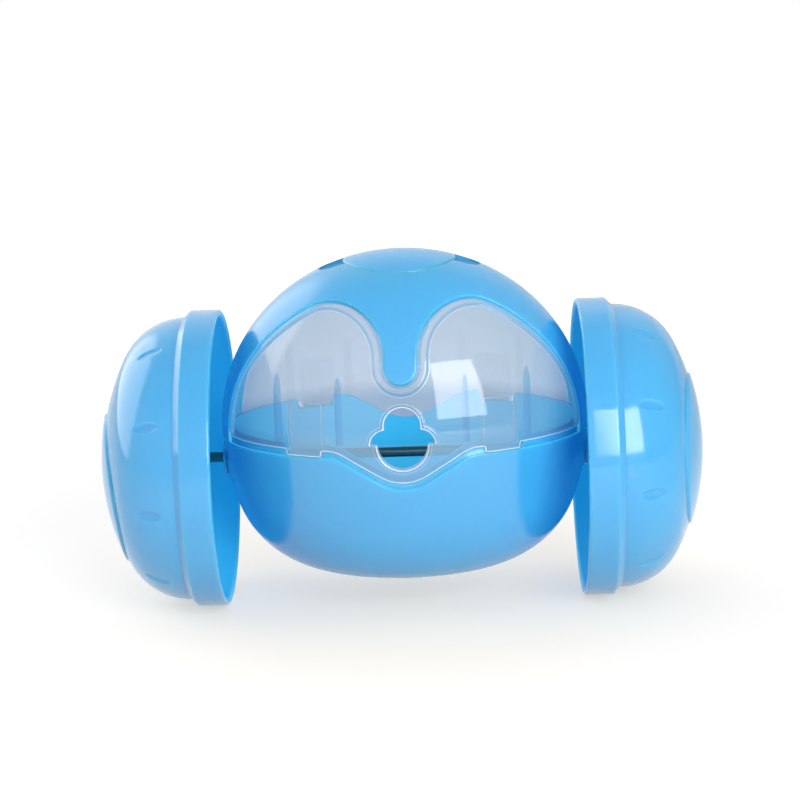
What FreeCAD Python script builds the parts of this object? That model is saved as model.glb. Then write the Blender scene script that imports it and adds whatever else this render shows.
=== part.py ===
import FreeCAD, Part
import math
import os

import Sketcher

# Treat dispensing car toy. A hollow egg hangs on a steel rod between two bowl-shaped wheels,
# with a counterweight in its belly. X runs along the axle, the outlet faces -Y, and the
# origin is on the floor under the middle of the toy.

V = FreeCAD.Vector
EVERYWHERE = 130.0      # half the side of a cutting block that is larger than the toy

DRIVING_DIMENSIONS = [
    # wheels
    ("rim_radius", 42.5), ("opening_x", 50.8), ("band_width", 8.4), ("shoulder_radius", 40.85),
    ("shoulder_x", 60.7), ("bend_radius", 19.0), ("dome_radius", 66.0), ("dome_apex", 85.3),
    ("wheel_wall", 2.0), ("disc_radius", 21.3), ("disc_offset", 8.5), ("disc_step", 0.6),
    ("hub_radius", 4.5), ("hub_face", 56.0), ("hub_root", 7.5), ("rib_count", 6),
    ("rib_wide", 1.5), ("dimple_count", 10), ("dimple_x", 68.6), ("dimple_long", 3.9),
    ("dimple_wide", 1.7), ("dimple_deep", 1.0), ("dimple_ring", 39.0),
    # axle and bearings
    ("axle_radius", 1.5), ("axle_half", 80.0), ("running_gap", 0.05), ("side_play", 1.1),
    ("bush_radius", 3.0),
    ("bush_inner_x", 45.0), ("flange_radius", 5.0), ("flange_seat", 51.2), ("flange_thick", 1.0),
    ("boss_radius", 5.5), ("boss_inner_x", 46.0),
    # egg-shaped body
    ("half_width", 52.3), ("half_depth", 40.0), ("equator_rise", 9.6), ("crown", 49.2),
    ("belly_depth", 44.2), ("side_radius", 66.0), ("corner_radius", 29.0),
    ("belly_radius", 125.0), ("wall", 2.0), ("parting_rise", 7.3),
    # windows
    ("pane_recess", 0.5), ("pane_inner", 1.85), ("seam", 0.12), ("bead_width", 2.3),
    ("window_half", 49.5), ("side_bend", 38.0), ("side_angle", 40.0), ("top_bend", 50.0),
    ("lobe_radius", 13.7), ("tongue_half", 4.6), ("tongue_tip_rise", 27.2),
    ("pane_edge_rise", 9.1), ("vee_radius", 12.8), ("vee_shoulder", 9.0), ("vee_slope", 30.5),
    ("pane_vee_rise", 0.2), ("rim_vee_rise", -1.5), ("lip_rise", 10.3), ("lip_vee_rise", 2.0),
    ("lip_inner", 3.4), ("lip_foot_rise", -4.5), ("rim_step", 0.9),
    ("tab_near", 22.4), ("tab_far", 32.2), ("pad_rise", 22.4), ("pad_inner", 3.3),
    ("gusset_near", 17.2), ("gusset_far", 34.2), ("gusset_wide", 1.2), ("gusset_top", 28.6),
    ("gusset_deep", 5.0),
    # outlet
    ("outlet_rise", 11.0), ("outlet_radius", 7.0), ("ear_radius", 4.2), ("ear_offset", 4.7),
    ("top_lobe_radius", 5.0), ("top_lobe_up", 5.2), ("outlet_lip", 1.1),
    ("outlet_lip_proud", 0.3), ("outlet_lip_inner", 2.8),
    # filling lid
    ("lid_radius", 15.85), ("lid_gap", 0.3), ("lid_thick", 1.6), ("seat_gap", 0.3),
    ("throat_radius", 14.4), ("collar_radius", 18.2), ("collar_foot_rise", 47.0),
    ("skirt_radius", 14.1), ("skirt_wall", 1.4), ("skirt_foot_rise", 48.5),
    ("scoop_x", 16.6), ("scoop_long", 6.2), ("scoop_wide", 8.0), ("scoop_deep", 1.5),
    ("scoop_tilt", 17.5),
    # counterweight
    ("weight_radius", 18.0), ("weight_thick", 7.5), ("weight_floor", 12.6), ("well_gap", 0.2),
    ("well_wall", 1.8), ("cover_thick", 1.6), ("post_radius", 3.6), ("post_ring", 22.8),
    ("screw_count", 3), ("screw_radius", 1.2), ("screw_long", 6.0), ("screw_head", 2.5),
    ("screw_head_high", 1.6),
]


class Size(float):
    """A length that keeps the sheet formula it was worked out with."""

    def __new__(cls, value, text):
        size = float.__new__(cls, value)
        size.text = text
        return size

    def _with(self, sign, other, value):
        return Size(value, "(%s %s %s)" % (self.text, sign, formula(other)))

    def __add__(self, other):
        return self._with("+", other, float(self) + float(other))

    def __sub__(self, other):
        return self._with("-", other, float(self) - float(other))

    def __mul__(self, other):
        return self._with("*", other, float(self) * float(other))

    def __truediv__(self, other):
        return self._with("/", other, float(self) / float(other))

    def __neg__(self):
        return Size(-float(self), "(-1 * %s)" % self.text)


def formula(value):
    """The text that the sheet uses for a length or a plain number."""
    return value.text if isinstance(value, Size) else repr(float(value))


doc = FreeCAD.newDocument("treat_car")
sheet = doc.addObject("Spreadsheet::Sheet", "dims")
D = {}
for row, (alias, number) in enumerate(DRIVING_DIMENSIONS, start=1):
    sheet.set("A%d" % row, alias)
    sheet.set("B%d" % row, str(number))
    sheet.setAlias("B%d" % row, alias)
    D[alias] = Size(number, "dims." + alias)
doc.recompute()

AXLE_Z = D["rim_radius"]
EQUATOR_Z = AXLE_Z + D["equator_rise"]
PARTING_Z = AXLE_Z + D["parting_rise"]


# Small helpers

def bind(thing, path, size):
    """Tie one property to the sheet, or set it when the size is a plain number."""
    if isinstance(size, Size):
        thing.setExpression(path, size.text)
    elif "." not in path:
        setattr(thing, path, size)
    return thing


def place(thing, x=0.0, y=0.0, z=0.0, rotation=None):
    """Put a thing at a point, each coordinate tied to the sheet where it has a formula."""
    thing.Placement = FreeCAD.Placement(V(x, y, z), rotation or FreeCAD.Rotation())
    for axis, size in zip("xyz", (x, y, z)):
        if isinstance(size, Size):
            thing.setExpression("Placement.Base." + axis, size.text)
    return thing


ALONG_X = FreeCAD.Rotation(V(0, 1, 0), 90)
ALONG_Y = FreeCAD.Rotation(V(1, 0, 0), -90)
FRONT_VIEW = FreeCAD.Rotation(V(1, 0, 0), 90)      # sketch x is X, sketch y is Z
SIDE_VIEW = FreeCAD.Rotation(V(1, 1, 1), 120)      # sketch x is Y, sketch y is Z


def cylinder(name, radius, height, x=0.0, y=0.0, z=0.0, rotation=None):
    rod = doc.addObject("Part::Cylinder", name)
    bind(rod, "Radius", radius)
    bind(rod, "Height", height)
    return place(rod, x, y, z, rotation)


def box(name, low, high):
    """A block between two corners."""
    block = doc.addObject("Part::Box", name)
    for side, start, end in zip(("Length", "Width", "Height"), low, high):
        bind(block, side, end - start)
    return place(block, *low)


def ellipsoid(name, up, across, deep, centre, rotation=None, lowest=-90.0):
    egg = doc.addObject("Part::Ellipsoid", name)
    bind(egg, "Radius1", up)
    bind(egg, "Radius2", across)
    bind(egg, "Radius3", deep)
    egg.Angle1 = lowest
    return place(egg, *centre, rotation=rotation)


def fuse(name, *shapes):
    joined = doc.addObject("Part::MultiFuse", name)
    joined.Shapes = list(shapes)
    return joined


def common(name, *shapes):
    shared = doc.addObject("Part::MultiCommon", name)
    shared.Shapes = list(shapes)
    return shared


def cut(name, base, tool):
    left = doc.addObject("Part::Cut", name)
    left.Base = base
    left.Tool = tool
    return left


def prism(name, sketch, direction, length, start=0.0):
    """A sketch pulled along a direction, from start to start + length."""
    solid = doc.addObject("Part::Extrusion", name)
    solid.Base = sketch
    solid.DirMode = "Custom"
    solid.Dir = direction
    solid.Solid = True
    bind(solid, "LengthFwd", length + start)
    bind(solid, "LengthRev", -start)
    return solid


# Sketch helpers

def constrain(sketch, kind, *where, size=None):
    """Add a constraint, with its size tied to the sheet when it has a formula."""
    if size is None:
        return sketch.addConstraint(Sketcher.Constraint(kind, *where))
    index = sketch.addConstraint(Sketcher.Constraint(kind, *where, float(size)))
    if isinstance(size, Size):
        sketch.setExpression("Constraints[%d]" % index, size.text)
    return index


def arc(centre, radius, start, end):
    """An arc drawn anticlockwise between two angles in radians."""
    circle = Part.Circle(V(centre[0], centre[1], 0), V(0, 0, 1), float(radius))
    return Part.ArcOfCircle(circle, start, end)


def line(start, end):
    return Part.LineSegment(V(start[0], start[1], 0), V(end[0], end[1], 0))


def pin(sketch, edge, point, position):
    """Hold one point of a sketch edge at a position from the origin."""
    for kind, size in zip(("DistanceX", "DistanceY"), position):
        constrain(sketch, kind, -1, 1, edge, point, size=size)


def polygon(sketch, points):
    """A closed outline of straight lines, every corner pinned."""
    for start, end in zip(points, points[1:] + points[:1]):
        sketch.addGeometry(line(start, end))
    for edge, corner in enumerate(points):
        before = (edge - 1) % len(points)
        constrain(sketch, "Coincident", before, 2, edge, 1)
        pin(sketch, edge, 1, corner)
    return sketch


def new_sketch(name, rotation=FRONT_VIEW):
    sketch = doc.addObject("Sketcher::SketchObject", name)
    sketch.Placement = FreeCAD.Placement(V(0, 0, 0), rotation)
    return sketch


# The egg. Its skin at any inset is a half ellipsoid on a turned belly that is squeezed
# from front to back, so every wall keeps an even thickness.

def touching_circle(centre_a, reach_a, centre_b, reach_b):
    """The point at given distances from two centres, on the side of larger x."""
    gap = math.dist(centre_a, centre_b)
    along = (gap ** 2 + reach_a ** 2 - reach_b ** 2) / (2 * gap)
    aside = math.sqrt(reach_a ** 2 - along ** 2)
    unit = [(b - a) / gap for a, b in zip(centre_a, centre_b)]
    left = (centre_a[0] + along * unit[0] - aside * unit[1],
            centre_a[1] + along * unit[1] + aside * unit[0])
    right = (centre_a[0] + along * unit[0] + aside * unit[1],
             centre_a[1] + along * unit[1] - aside * unit[0])
    return max(left, right)


def direction(start, end):
    return math.atan2(end[1] - start[1], end[0] - start[0])


def belly_sketch(name, inset):
    """Half profile of the belly: three arcs that run into each other."""
    side_r = D["side_radius"] - inset
    corner_r = D["corner_radius"] - inset
    belly_r = D["belly_radius"] - inset
    side = (D["half_width"] - D["side_radius"], EQUATOR_Z)
    belly = (0.0, EQUATOR_Z - D["belly_depth"] + D["belly_radius"])
    corner = touching_circle(side, side_r - corner_r, belly, belly_r - corner_r)
    upper_turn = direction(side, corner)
    lower_turn = direction(belly, corner)
    edge_x = side[0] + side_r
    sketch = new_sketch(name)
    sketch.addGeometry(arc(side, side_r, upper_turn, 0.0))
    sketch.addGeometry(arc(corner, corner_r, lower_turn, upper_turn))
    sketch.addGeometry(arc(belly, belly_r, -math.pi / 2, lower_turn))
    sketch.addGeometry(line((0, belly[1] - belly_r), (0, side[1])))
    sketch.addGeometry(line((0, side[1]), (edge_x, side[1])))
    constrain(sketch, "Tangent", 0, 1, 1, 2)
    constrain(sketch, "Tangent", 1, 1, 2, 2)
    constrain(sketch, "Coincident", 2, 1, 3, 1)
    constrain(sketch, "Coincident", 3, 2, 4, 1)
    constrain(sketch, "Coincident", 4, 2, 0, 2)
    constrain(sketch, "Vertical", 3)
    constrain(sketch, "Horizontal", 4)
    for edge, size in enumerate((side_r, corner_r, belly_r)):
        constrain(sketch, "Radius", edge, size=size)
    pin(sketch, 0, 3, side)
    pin(sketch, 2, 3, belly)
    pin(sketch, 3, 2, (0.0, EQUATOR_Z))
    return sketch


def egg(name, inset):
    """The solid inside the skin at a given inset."""
    across = D["half_width"] - inset
    deep = D["half_depth"] - inset
    turned = doc.addObject("Part::Revolution", name + "_turned")
    turned.Source = belly_sketch(name + "_profile", inset)
    turned.Axis = V(0, 0, 1)
    turned.Angle = 360
    turned.Solid = True
    belly = doc.addObject("Part::Scale", name + "_belly")
    belly.Base = turned
    belly.Uniform = False
    belly.XScale = 1.0
    belly.ZScale = 1.0
    bind(belly, "YScale", deep / across)
    top = ellipsoid(name + "_crown", D["crown"] - inset, across, deep,
                    (0.0, 0.0, EQUATOR_Z), lowest=0.0)
    return fuse(name, belly, top)


def skin_z(inset, x, y):
    """Height of the crown above a point."""
    across = (x / (D["half_width"] - inset)) ** 2 + (y / (D["half_depth"] - inset)) ** 2
    return float(EQUATOR_Z) + float(D["crown"] - inset) * math.sqrt(1 - across)


def skin_depth(inset, x, rise):
    """Distance of the crown's skin from the middle plane, seen from the front."""
    up = (rise - D["equator_rise"]) / (D["crown"] - inset)
    left = 1 - float(up) ** 2 - (x / (D["half_width"] - inset)) ** 2
    return float(D["half_depth"] - inset) * math.sqrt(left)


skin = egg("skin", Size(0.0, "0"))
step_skin = egg("step_skin", D["rim_step"])
pane_skin = egg("pane_skin", D["pane_recess"])
pane_back = egg("pane_back", D["pane_inner"])
inner = egg("inner", D["wall"])
lip_skin = egg("lip_skin", D["lip_inner"])
pad_skin = egg("pad_skin", D["pad_inner"])
lid_back = egg("lid_back", D["lid_thick"])
seat_skin = egg("seat_skin", D["lid_thick"] + D["seat_gap"])


# The goggle outline of a window, and the rim line with its vee

def goggle_sketch(name, shrink):
    """Two lobes with the shell's tongue between them, drawn as arcs that run together."""
    side_r = D["side_bend"] - shrink
    top_r = D["top_bend"] - shrink
    lobe_r = D["lobe_radius"] - shrink
    tongue = D["tongue_half"] + shrink
    turn = math.radians(D["side_angle"])
    side = (D["window_half"] - D["side_bend"], EQUATOR_Z)
    top = (side[0] + (side_r - top_r) * math.cos(turn), side[1] + (side_r - top_r) * math.sin(turn))
    lobe_x = D["tongue_half"] + D["lobe_radius"]
    reach = top_r - lobe_r
    lobe = (lobe_x, top[1] + math.sqrt(reach ** 2 - (lobe_x - top[0]) ** 2))
    tip = (0.0, AXLE_Z + D["tongue_tip_rise"] + D["tongue_half"])
    foot_z = float(AXLE_Z) - 20.0
    foot_turn = math.asin((foot_z - side[1]) / side_r)
    foot_x = side[0] + side_r * math.cos(foot_turn)
    lobe_turn = direction(top, lobe)
    sketch = new_sketch(name)
    edges = []
    for hand in (1, -1):
        mirrored = hand < 0

        def half_arc(centre, radius, start, end):
            if mirrored:
                return arc((-centre[0], centre[1]), radius, math.pi - end, math.pi - start)
            return arc(centre, radius, start, end)

        edges.append((half_arc(side, side_r, foot_turn, turn), half_arc(top, top_r, turn, lobe_turn),
                      half_arc(lobe, lobe_r, lobe_turn, math.pi),
                      line((hand * tongue, lobe[1]), (hand * tongue, tip[1]))))
    for half in edges:
        sketch.addGeometry(list(half))
    sketch.addGeometry(arc(tip, tongue, math.pi, 2 * math.pi))
    sketch.addGeometry(line((-foot_x, foot_z), (foot_x, foot_z)))
    for first, hand in ((0, 1), (4, -1)):
        begin, end = (1, 2) if hand > 0 else (2, 1)
        constrain(sketch, "Tangent", first, end, first + 1, begin)
        constrain(sketch, "Tangent", first + 1, end, first + 2, begin)
        constrain(sketch, "Tangent", first + 2, end, first + 3, 1)
        constrain(sketch, "Radius", first, size=side_r)
        constrain(sketch, "Radius", first + 1, size=top_r)
        constrain(sketch, "Radius", first + 2, size=lobe_r)
        constrain(sketch, "Vertical", first + 3)
        pin(sketch, first, 3, (side[0] * hand, side[1]))
        constrain(sketch, "DistanceX", -1, 1, first + 1, 3, size=top[0] * hand)
        constrain(sketch, "DistanceX", -1, 1, first + 2, 3, size=lobe_x * hand)
        constrain(sketch, "Coincident", first, begin, 9, 2 if hand > 0 else 1)
    constrain(sketch, "Tangent", 3, 2, 8, 2)
    constrain(sketch, "Tangent", 7, 2, 8, 1)
    constrain(sketch, "Horizontal", 9)
    constrain(sketch, "DistanceY", -1, 1, 9, 1, size=foot_z)
    constrain(sketch, "DistanceY", -1, 1, 8, 3, size=tip[1])
    return sketch


def rim_sketch(name, rise, vee_rise):
    """The region under a level line that dips in a rounded vee at the middle."""
    slope = math.radians(D["vee_slope"])
    low_r = D["vee_radius"]
    high_r = D["vee_shoulder"]
    level = AXLE_Z + rise
    bottom = (0.0, AXLE_Z + vee_rise + low_r)
    low_end = (low_r * math.sin(slope), bottom[1] - low_r * math.cos(slope))
    rise_left = level - low_end[1] - high_r * (1 - math.cos(slope))
    high_end = (low_end[0] + rise_left / math.tan(slope), low_end[1] + rise_left)
    shoulder = (high_end[0] + high_r * math.sin(slope), level - high_r)
    floor_z = -EVERYWHERE
    sketch = new_sketch(name)
    sketch.addGeometry(arc(bottom, low_r, 1.5 * math.pi - slope, 1.5 * math.pi + slope))
    for hand in (1, -1):
        if hand > 0:
            bend = arc(shoulder, high_r, math.pi / 2, math.pi / 2 + slope)
        else:
            bend = arc((-shoulder[0], shoulder[1]), high_r, math.pi / 2 - slope, math.pi / 2)
        sketch.addGeometry(line((hand * low_end[0], low_end[1]), (hand * high_end[0], high_end[1])))
        sketch.addGeometry(bend)
        sketch.addGeometry(line((hand * shoulder[0], level), (hand * EVERYWHERE, level)))
        sketch.addGeometry(line((hand * EVERYWHERE, level), (hand * EVERYWHERE, floor_z)))
    sketch.addGeometry(line((-EVERYWHERE, floor_z), (EVERYWHERE, floor_z)))
    constrain(sketch, "Radius", 0, size=low_r)
    pin(sketch, 0, 3, bottom)
    for first, hand in ((1, 1), (5, -1)):
        near, far = (2, 1) if hand > 0 else (1, 2)
        constrain(sketch, "Tangent", 0, near, first, 1)
        constrain(sketch, "Tangent", first, 2, first + 1, near)
        constrain(sketch, "Tangent", first + 1, far, first + 2, 1)
        constrain(sketch, "Radius", first + 1, size=high_r)
        constrain(sketch, "Coincident", first + 2, 2, first + 3, 1)
        constrain(sketch, "Coincident", first + 3, 2, 9, 2 if hand > 0 else 1)
        constrain(sketch, "Horizontal", first + 2)
        constrain(sketch, "Vertical", first + 3)
        pin(sketch, first + 2, 2, (hand * EVERYWHERE, level))
    constrain(sketch, "DistanceX", -1, 1, 2, 3, size=shoulder[0])
    constrain(sketch, "DistanceX", -1, 1, 6, 3, size=-shoulder[0])
    constrain(sketch, "Horizontal", 9)
    constrain(sketch, "DistanceY", -1, 1, 9, 1, size=floor_z)
    return sketch


FRONT, REAR = V(0, -1, 0), V(0, 1, 0)
DEEP = 60.0             # further than the egg reaches from its middle plane
START = 4.0             # the window cutters start this far from the middle plane

goggle_hole = goggle_sketch("goggle_hole", Size(0.0, "0"))
goggle_pane = goggle_sketch("goggle_pane", D["seam"])
goggle_field = goggle_sketch("goggle_field", D["bead_width"])
below_rim = prism("below_rim", rim_sketch("rim_line", D["parting_rise"], D["rim_vee_rise"]),
                  FRONT, 2 * DEEP, -DEEP)
below_pane = prism("below_pane", rim_sketch("pane_line", D["pane_edge_rise"], D["pane_vee_rise"]),
                   FRONT, 2 * DEEP, -DEEP)
below_lip = prism("below_lip", rim_sketch("lip_line", D["lip_rise"], D["lip_vee_rise"]),
                  FRONT, 2 * DEEP, -DEEP)


def both_ways(name, sketch):
    """The same outline pulled to the front and to the rear."""
    return fuse(name, prism(name + "_front", sketch, FRONT, DEEP, START),
                prism(name + "_rear", sketch, REAR, DEEP, START))


openings = both_ways("openings", goggle_hole)


# Upper shell

def upper_shell():
    above = box("above_parting", (-EVERYWHERE, -EVERYWHERE, PARTING_Z),
                (EVERYWHERE, EVERYWHERE, PARTING_Z + EVERYWHERE))
    dome = common("upper_dome", skin, above)
    mouth = cylinder("lid_mouth", D["lid_radius"] + D["lid_gap"], 50.0, z=EQUATOR_Z)
    hollow = fuse("upper_hollow", inner, openings, mouth)
    shell = cut("upper_wall", dome, hollow)
    foot = AXLE_Z + D["collar_foot_rise"]
    ring = cylinder("collar_block", D["collar_radius"], 20.0, z=foot)
    collar = common("collar_seat", ring, seat_skin)
    throat = cylinder("throat", D["throat_radius"], 80.0, z=EQUATOR_Z)
    scoops = [throat]
    for hand in (1, -1):
        tilt = FreeCAD.Rotation(V(0, 1, 0), hand * float(D["scoop_tilt"]))
        centre = (D["scoop_x"] * hand, 0.0, skin_z(0, float(D["scoop_x"]), 0) + 0.1)
        scoops.append(ellipsoid("finger_scoop_%d" % (hand + 1), D["scoop_deep"], D["scoop_long"],
                                D["scoop_wide"], centre, tilt))
    joined = fuse("upper_joined", shell, collar)
    return cut("upper_shell", joined, fuse("upper_cuts", *scoops))


# Lower shell, with its lip behind the windows, bearing bosses and the weight's well

def well_parts():
    """The ring wall and the screw posts that hold the counterweight under its cover."""
    top = D["weight_floor"] + D["weight_thick"] + 0.1
    outer = D["weight_radius"] + D["well_gap"] + D["well_wall"]
    solids = [cylinder("well_block", outer, top)]
    for number in range(int(D["screw_count"])):
        angle = screw_angle(number)
        solids.append(cylinder("post_%d" % number, D["post_radius"], top,
                               D["post_ring"] * math.cos(angle), D["post_ring"] * math.sin(angle)))
    return solids, top


def screw_angle(number):
    return math.pi / 2 + 2 * math.pi * number / float(D["screw_count"])


def tab_notches(name, grow, foot, head):
    """Blocks at the four snap tabs, a little wider than the tabs by grow."""
    blocks = []
    for side in (1, -1):
        for face in (1, -1):
            low_x, high_x = D["tab_near"] - grow, D["tab_far"] + grow
            low = low_x if side > 0 else -high_x
            high = high_x if side > 0 else -low_x
            near, far = (15.0, DEEP) if face > 0 else (-DEEP, -15.0)
            blocks.append(box("%s_%d%d" % (name, side + 1, face + 1), (low, near, foot),
                              (high, far, head)))
    return blocks


def lower_shell():
    rim = common("rim_solid", skin, below_rim)
    ledge = common("ledge_solid", step_skin, below_pane, openings)
    lip = common("lip_solid", inner, below_lip)
    block = fuse("lower_block", rim, ledge, lip)
    below = box("below_lip_foot", (-EVERYWHERE, -EVERYWHERE, AXLE_Z + D["lip_foot_rise"] - 90.0),
                (EVERYWHERE, EVERYWHERE, AXLE_Z + D["lip_foot_rise"]))
    cavity = fuse("lower_cavity", common("deep_cavity", inner, below), lip_skin)
    notches = tab_notches("notch", D["seam"], PARTING_Z, PARTING_Z + 20.0)
    walls = cut("lower_walls", block, fuse("lower_hollow", cavity, *notches))
    solids, well_top = well_parts()
    for hand in (1, -1):
        start = D["boss_inner_x"] if hand > 0 else -D["half_width"]
        solids.append(cylinder("bush_boss_%d" % (hand + 1), D["boss_radius"],
                               D["half_width"] - D["boss_inner_x"], start, 0.0, AXLE_Z, ALONG_X))
    inside = common("inside_features", fuse("inside_solids", *solids), step_skin)
    bores = [cylinder("well_bore", D["weight_radius"] + D["well_gap"], 60.0, z=D["weight_floor"] - 0.1)]
    for number in range(int(D["screw_count"])):
        angle = screw_angle(number)
        bores.append(cylinder("pilot_%d" % number, D["screw_radius"] - 0.02, D["screw_long"],
                              D["post_ring"] * math.cos(angle), D["post_ring"] * math.sin(angle),
                              well_top - D["screw_long"] + 0.1))
    bores.append(cylinder("bush_bore", D["bush_radius"], 2 * EVERYWHERE, -EVERYWHERE, 0.0, AXLE_Z,
                          ALONG_X))
    for hand in (1, -1):
        start = D["flange_seat"] if hand > 0 else -D["flange_seat"] - 9.0
        bores.append(cylinder("spot_face_%d" % (hand + 1), D["flange_radius"] + 0.2, 9.0,
                              start, 0.0, AXLE_Z, ALONG_X))
    whole = fuse("lower_joined", walls, inside)
    return cut("lower_shell", whole, fuse("lower_bores", *bores))


# Windows

def outlet_sketch(name, grow):
    """A clover of three lobes over a half circle, each edge moved out by grow."""
    level = AXLE_Z + D["outlet_rise"]
    low_r = D["outlet_radius"] + grow
    ear_r = D["ear_radius"] + grow
    top_r = D["top_lobe_radius"] + grow
    base = level - grow
    top = (0.0, level + D["top_lobe_up"])
    ear = (D["ear_offset"], level)
    low_turn = math.asin(float(grow) / float(low_r))
    ear_turn = math.asin(float(grow) / float(ear_r))
    meet = touching_circle((0.0, float(top[1])), float(top_r), (float(ear[0]), float(ear[1])),
                           float(ear_r))
    low_x = low_r * math.cos(low_turn)
    ear_x = ear[0] + ear_r * math.cos(ear_turn)
    top_start = direction(top, meet)
    ear_end = direction(ear, meet)
    sketch = new_sketch(name)
    sketch.addGeometry(arc((0, level), low_r, math.pi + low_turn, 2 * math.pi - low_turn))
    sketch.addGeometry(line((low_x, base), (ear_x, base)))
    sketch.addGeometry(arc(ear, ear_r, -ear_turn, ear_end))
    sketch.addGeometry(arc(top, top_r, top_start, math.pi - top_start))
    sketch.addGeometry(arc((-ear[0], ear[1]), ear_r, math.pi - ear_end, math.pi + ear_turn))
    sketch.addGeometry(line((-ear_x, base), (-low_x, base)))
    for edge, following in ((0, 1), (1, 2), (2, 3), (3, 4), (4, 5), (5, 0)):
        constrain(sketch, "Coincident", edge, 2, following, 1)
    for edge, centre, radius in ((0, (0.0, level), low_r), (2, ear, ear_r), (3, top, top_r),
                                 (4, (-ear[0], ear[1]), ear_r)):
        pin(sketch, edge, 3, centre)
        constrain(sketch, "Radius", edge, size=radius)
    for edge in (1, 5):
        constrain(sketch, "Horizontal", edge)
        constrain(sketch, "DistanceY", -1, 1, edge, 1, size=base)
    return sketch


def gusset(name, x, face):
    """A pointed rib inside the window, standing on its lower edge."""
    foot, top = D["lip_rise"] + 0.3, D["gusset_top"]
    at_foot = skin_depth(D["pane_inner"], float(x), foot)
    at_top = skin_depth(D["pane_inner"], float(x), top)
    outline = [(face * (at_foot - D["gusset_deep"]), AXLE_Z + foot), (face * DEEP, AXLE_Z + foot),
               (face * DEEP, AXLE_Z + top), (face * (at_top - 0.2), AXLE_Z + top)]
    sketch = polygon(new_sketch(name + "_profile", SIDE_VIEW), outline)
    return prism(name, sketch, V(1, 0, 0), D["gusset_wide"], x - D["gusset_wide"] / 2)


def window(name, face, has_outlet):
    """One clear pane with its bead, pads, snap tabs and gussets."""
    way = FRONT if face < 0 else REAR
    outline = prism(name + "_outline", goggle_pane, way, DEEP, START)
    field = prism(name + "_field", goggle_field, way, DEEP, START)
    edge = cut(name + "_edge", outline, below_pane)
    pane = common(name + "_pane", pane_skin, edge)
    bead = common(name + "_bead", skin, cut(name + "_border", edge, field))
    pads = []
    ribs = []
    for side in (1, -1):
        low_x = D["tab_near"] if side > 0 else -D["tab_far"]
        high_x = D["tab_far"] if side > 0 else -D["tab_near"]
        near, far = (15.0, DEEP) if face > 0 else (-DEEP, -15.0)
        pads.append(box("%s_pad_%d" % (name, side + 1), (low_x, near, PARTING_Z + 0.05),
                        (high_x, far, AXLE_Z + D["pad_rise"])))
        for place_name in ("gusset_near", "gusset_far"):
            centre = D[place_name] if side > 0 else -D[place_name]
            ribs.append(gusset("%s_%s_%d" % (name, place_name, side + 1), centre, face))
    tabs = common(name + "_tabs", pane_skin, fuse(name + "_pads", *pads))
    solid = cut(name + "_glass", fuse(name + "_plate", pane, bead), pane_back)
    thick = cut(name + "_thick", tabs, pad_skin)
    inside = common(name + "_ribs", pane_skin, fuse(name + "_gussets", *ribs))
    if not has_outlet:
        return fuse(name, solid, thick, inside)
    lip_outer = egg("outlet_skin", D["outlet_lip_proud"])
    lip_inner = egg("outlet_back", D["outlet_lip_inner"])
    ring = prism("outlet_ring", outlet_sketch("outlet_edge", D["outlet_lip"]), way, DEEP, START)
    lip = cut("outlet_lip", common("outlet_lip_block", ring, lip_outer), lip_inner)
    hole = prism("outlet_hole", outlet_sketch("outlet", Size(0.0, "0")), way, DEEP, START)
    return cut(name, fuse(name + "_joined", solid, thick, inside, lip), hole)


# Filling lid

def fill_lid():
    disc = cylinder("lid_disc", D["lid_radius"], 60.0, z=EQUATOR_Z)
    plate = cut("lid_plate", common("lid_cap", disc, skin), lid_back)
    foot = AXLE_Z + D["skirt_foot_rise"]
    tube = cylinder("skirt_tube", D["skirt_radius"], 30.0, z=foot)
    skirt = cut("skirt", common("skirt_block", tube, pane_skin),
                cylinder("skirt_bore", D["skirt_radius"] - D["skirt_wall"], 60.0, z=EQUATOR_Z))
    return fuse("fill_lid", plate, skirt)


# Turned and moulded round pieces, each a body with a sketched profile

def plane_of(body, role):
    for feature in body.Origin.OriginFeatures:
        if feature.Role == role:
            return feature
    raise ValueError(role)


def body_sketch(body, name, role):
    sketch = body.newObject("Sketcher::SketchObject", name)
    sketch.AttachmentSupport = [(plane_of(body, role), "")]
    sketch.MapMode = "FlatFace"
    return sketch


def new_body(name):
    return doc.addObject("PartDesign::Body", name)


def turn(body, sketch, name, axis="H_Axis"):
    """Revolve a half profile about the sketch's own level axis."""
    solid = body.newObject("PartDesign::Revolution", name)
    solid.Profile = sketch
    solid.ReferenceAxis = (sketch, [axis])
    solid.Angle = 360.0
    return solid


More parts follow.
